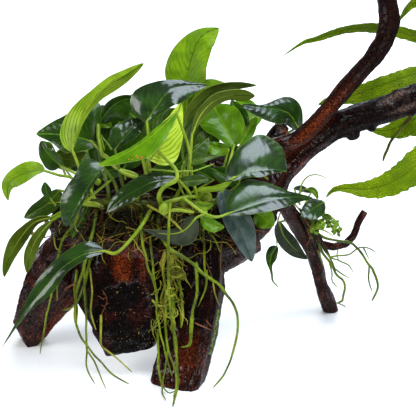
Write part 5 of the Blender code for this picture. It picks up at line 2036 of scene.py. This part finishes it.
@dataclass
class Anubias:
    """All anubias leaves: the ones with a solid each, and the small ones between them."""

    dark_stalks: tuple = ("anubias_leaf_10", "anubias_leaf_14", "anubias_leaf_15", "anubias_leaf_17")
    blemished: str = "anubias_leaf_12"
    blemishes: tuple = ((139, 158, 5), (147, 161, 6), (128, 160, 2))

    def build(self) -> None:
        """Makes each leaf as a piece of its own, and the small leaves as one."""
        for number, leaf in enumerate(ANUBIAS_LEAVES):
            stalk = DARK_STALK if leaf.name in self.dark_stalks else LEAF_STALK
            made = build_leaf(leaf._replace(name=leaf.name + "_blade"), number + 1, stalk_finish=stalk)
            finish_piece(made, (leaf.name,))
            if leaf.name == self.blemished:
                scatter_dots("leaf_blemishes", made, self.blemishes, (0.7, 1.3), BLEMISH)
        small = [
            build_leaf(leaf._replace(stalk_radius=1.0), 60 + number, rows=26, columns=11)
            for number, leaf in enumerate(SMALL_LEAVES)
        ]
        made = join_pieces("small_crown_leaves", small)
        finish_piece(made)


@dataclass
class JavaFern:
    """The fern's fronds: long, puckered, with a net of veins and wavy edges."""

    rows: int = 90
    columns: int = 17
    spored: str = "fern_frond_3"
    spots: tuple = ((360, 93, 6), (353, 98, 4), (391, 87, 5), (400, 83, 6), (372, 90, 2))
    dying_tip: tuple = (
        (418, 108, 88), (413, 113, 86), (408, 120, 85), (403, 125, 85), (400, 130, 85), (397, 134, 86),
        (392, 140, 88), (388, 148, 90), (385, 154, 91), (383, 161, 92),
    )

    def build(self) -> None:
        """Makes each frond as a piece of its own."""
        for number, frond in enumerate(FERN_FRONDS):
            named = frond._replace(name=frond.name + "_blade", ripple=1.5, stalk_radius=1.2, scallop=0.05)
            made = build_leaf(named, 30 + number, rows=self.rows, columns=self.columns)
            finish_piece(made, (frond.name,))
            if frond.name == self.spored:
                scatter_dots("spore_cases", made, self.spots, (0.5, 0.9), BROWN_ROOT)
        tip = strand_tube(placed_line(self.dying_tip), 1.9, 1.5, 6, 760)
        finish_bundle("withered_frond", [tip], WITHERED)


@dataclass
class SmallPlant:
    """The little plant on the thin leg: its creeping stem, its roots and the crinkled tuft, whose lobes are
    scattered along an arch."""

    lobes: int = 72
    stem: tuple = ((303, 211, 41), (310.5, 226, 50), (318, 239, 58))
    arch: tuple = ((312, 226, 46), (320, 216, 44), (331, 218, 44), (340, 229, 48))

    def build(self) -> None:
        """Makes the stem with its roots, the shoots, the fibres over the leg, and the tuft."""
        tubes = [strand_tube(even_line(placed_line(self.stem), 40), 3.9, 3.3, 8, 700, rings=24)]
        tubes += self.tubes(SMALL_PLANT_STRANDS, 710)
        finish_bundle("small_plant_roots", tubes, WATER_ROOT, nodes=("small_rhizome",))
        for name, strands, seed, finish in (
            ("leg_shoots", LEG_SHOOTS, 730, LEAF_STALK),
            ("tuft_ribs", TUFT_RIBS, 750, LEAF_STALK),
            ("leg_fibres", LEG_FIBRES, 740, DARK_FIBRE),
            ("leg_rootlets", LEG_ROOTLETS, 770, DRY_ROOT),
        ):
            finish_bundle(name, self.tubes(strands, seed), finish)
        chance = random.Random(11)
        made = [self.lobe(chance, number) for number in range(self.lobes)]
        tuft = join_pieces("crinkled_fronds", made)
        finish_piece(tuft, ("crinkled_tuft",))

    @staticmethod
    def tubes(strands: Sequence[Strand], seed: int) -> list[np.ndarray]:
        """Tubes along strands that have depths of their own, a little thicker than measured.

        Args:
            strands: the strands.
            seed: the first strand's seed, one less than the next one's.

        Returns:
            One tube a strand.
        """
        made = []
        for number, strand in enumerate(strands):
            line = placed_line(strand.points)
            made.append(strand_tube(line, strand.radius * 1.1, strand.end_radius * 1.3, 8, seed + number))
        return made

    def lobe(self, chance: random.Random, number: int) -> bpy.types.Object:
        """One small crinkled lobe, somewhere along the tuft's arch.

        Args:
            chance: where its random numbers come from.
            number: its number in the tuft.

        Returns:
            The lobe as one object.
        """
        spine = smooth_line(self.arch, 8)
        start = spine[int(chance.random() * (len(spine) - 1))]
        spot = start + np.array([0.0, chance.uniform(-1.0, 11.0), chance.uniform(-8, 8)])
        turn = chance.uniform(0, 2 * math.pi)
        reach = chance.uniform(3.5, 7.0)
        away = [math.cos(turn) * reach, math.sin(turn) * reach * 0.7, chance.uniform(-2.5, 2.5)]
        end = spot + np.array(away)
        knee = (spot + end) / 2 + np.array([chance.uniform(-1, 1) for _ in range(3)])
        half = chance.uniform(1.6, 3.0)
        tone = chance.choice((Tone.PALE, Tone.PALE, Tone.YOUNG, Tone.OLIVE))
        tilt = (chance.uniform(-1, 1), chance.uniform(-1, 1))
        rib = (tuple(spot), tuple(knee), tuple(end))
        row = Leaf(f"tuft_lobe_{number:02d}", (), rib, half, half * 0.8, tone, tilt)
        return build_leaf(row, 80 + number, rows=12, columns=7, thickness=0.35)


# Studio


@dataclass
class Studio:
    """A pale floor, soft lights from above and the catalogue camera."""

    sky: float = 0.1
    lamps: tuple = (
        ("overhead_softbox", (0.3, -0.2, 1.3), (0, 0, 0.12), 0.9, 28.0, "#e4efff"),
        ("back_softbox", (0.1, 1.9, 1.1), (0, 0.6, 0.0), 1.4, 52.0, "#eef6ff"),
        ("left_softbox", (-1.3, -0.6, 0.9), (0, 0, 0.15), 0.7, 12.0, "#ffffff"),
        ("front_softbox", (0.8, -1.6, 0.9), (0, 0, 0.15), 0.8, 8.0, "#fffdf8"),
    )

    def build(self) -> None:
        """Places floor, lights, sky and camera."""
        deselect_all()
        bpy.ops.mesh.primitive_plane_add(size=14.0, location=(0, 0, 0))
        floor = bpy.context.object
        floor.name = "studio_floor"
        material, shader, _ = blank_material("matt_white_floor")
        feed(shader, {
            "Base Color": linear("#f6f6f6"), "Roughness": 0.9, "Specular IOR Level": 0.1,
            "Emission Color": linear("#ffffff"), "Emission Strength": 0.12,
        })
        floor.data.materials.append(material)
        for row in self.lamps:
            self.lamp(*row)
        world = bpy.data.worlds.new("studio_air")
        world.use_nodes = True
        feed(world.node_tree.nodes["Background"], {"Color": linear("#ffffff"), "Strength": self.sky})
        bpy.context.scene.world = world
        bpy.context.scene.view_settings.view_transform = "Standard"
        self.camera()

    def lamp(self, name: str, place: tuple, target: tuple, size: float, power: float, colour: str) -> None:
        """A square softbox that looks at a point.

        Args:
            name: its name.
            place: where it is, in metres.
            target: the point it looks at, in metres.
            size: its side in metres.
            power: in watts.
            colour: an sRGB hex colour.
        """
        light = bpy.data.lights.new(name, "AREA")
        light.shape = "SQUARE"
        light.size = size
        light.energy = power
        light.color = linear(colour)[:3]
        placed = bpy.data.objects.new(name, light)
        placed.location = place
        placed.rotation_euler = (Vector(target) - Vector(place)).to_track_quat("-Z", "Y").to_euler()
        bpy.context.scene.collection.objects.link(placed)

    def camera(self) -> None:
        """The camera of the catalogue view."""
        lens = bpy.data.cameras.new("catalogue_camera")
        lens.sensor_width = 36.0
        lens.lens = 36.0 * VIEW.eye_distance / VIEW.side
        lens.clip_end = 50.0
        placed = bpy.data.objects.new("catalogue_camera", lens)
        placed.location = VIEW.eye
        placed.rotation_euler = (math.pi / 2 - VIEW.eye_down, 0.0, 0.0)
        bpy.context.scene.collection.objects.link(placed)
        bpy.context.scene.camera = placed


def main() -> None:
    """Builds every sub-assembly in order."""
    logging.basicConfig(level=logging.INFO, format="%(message)s")
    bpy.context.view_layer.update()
    Studio().build()
    driftwood = Driftwood()
    wood = driftwood.build()
    skin = Skin.of(wood)
    driftwood.dress(wood)
    Rhizomes().build()
    HangingRoots(skin).build()
    RootTangle(skin).build()
    Anubias().build()
    JavaFern().build()
    SmallPlant().build()


if __name__ == "__main__":
    main()
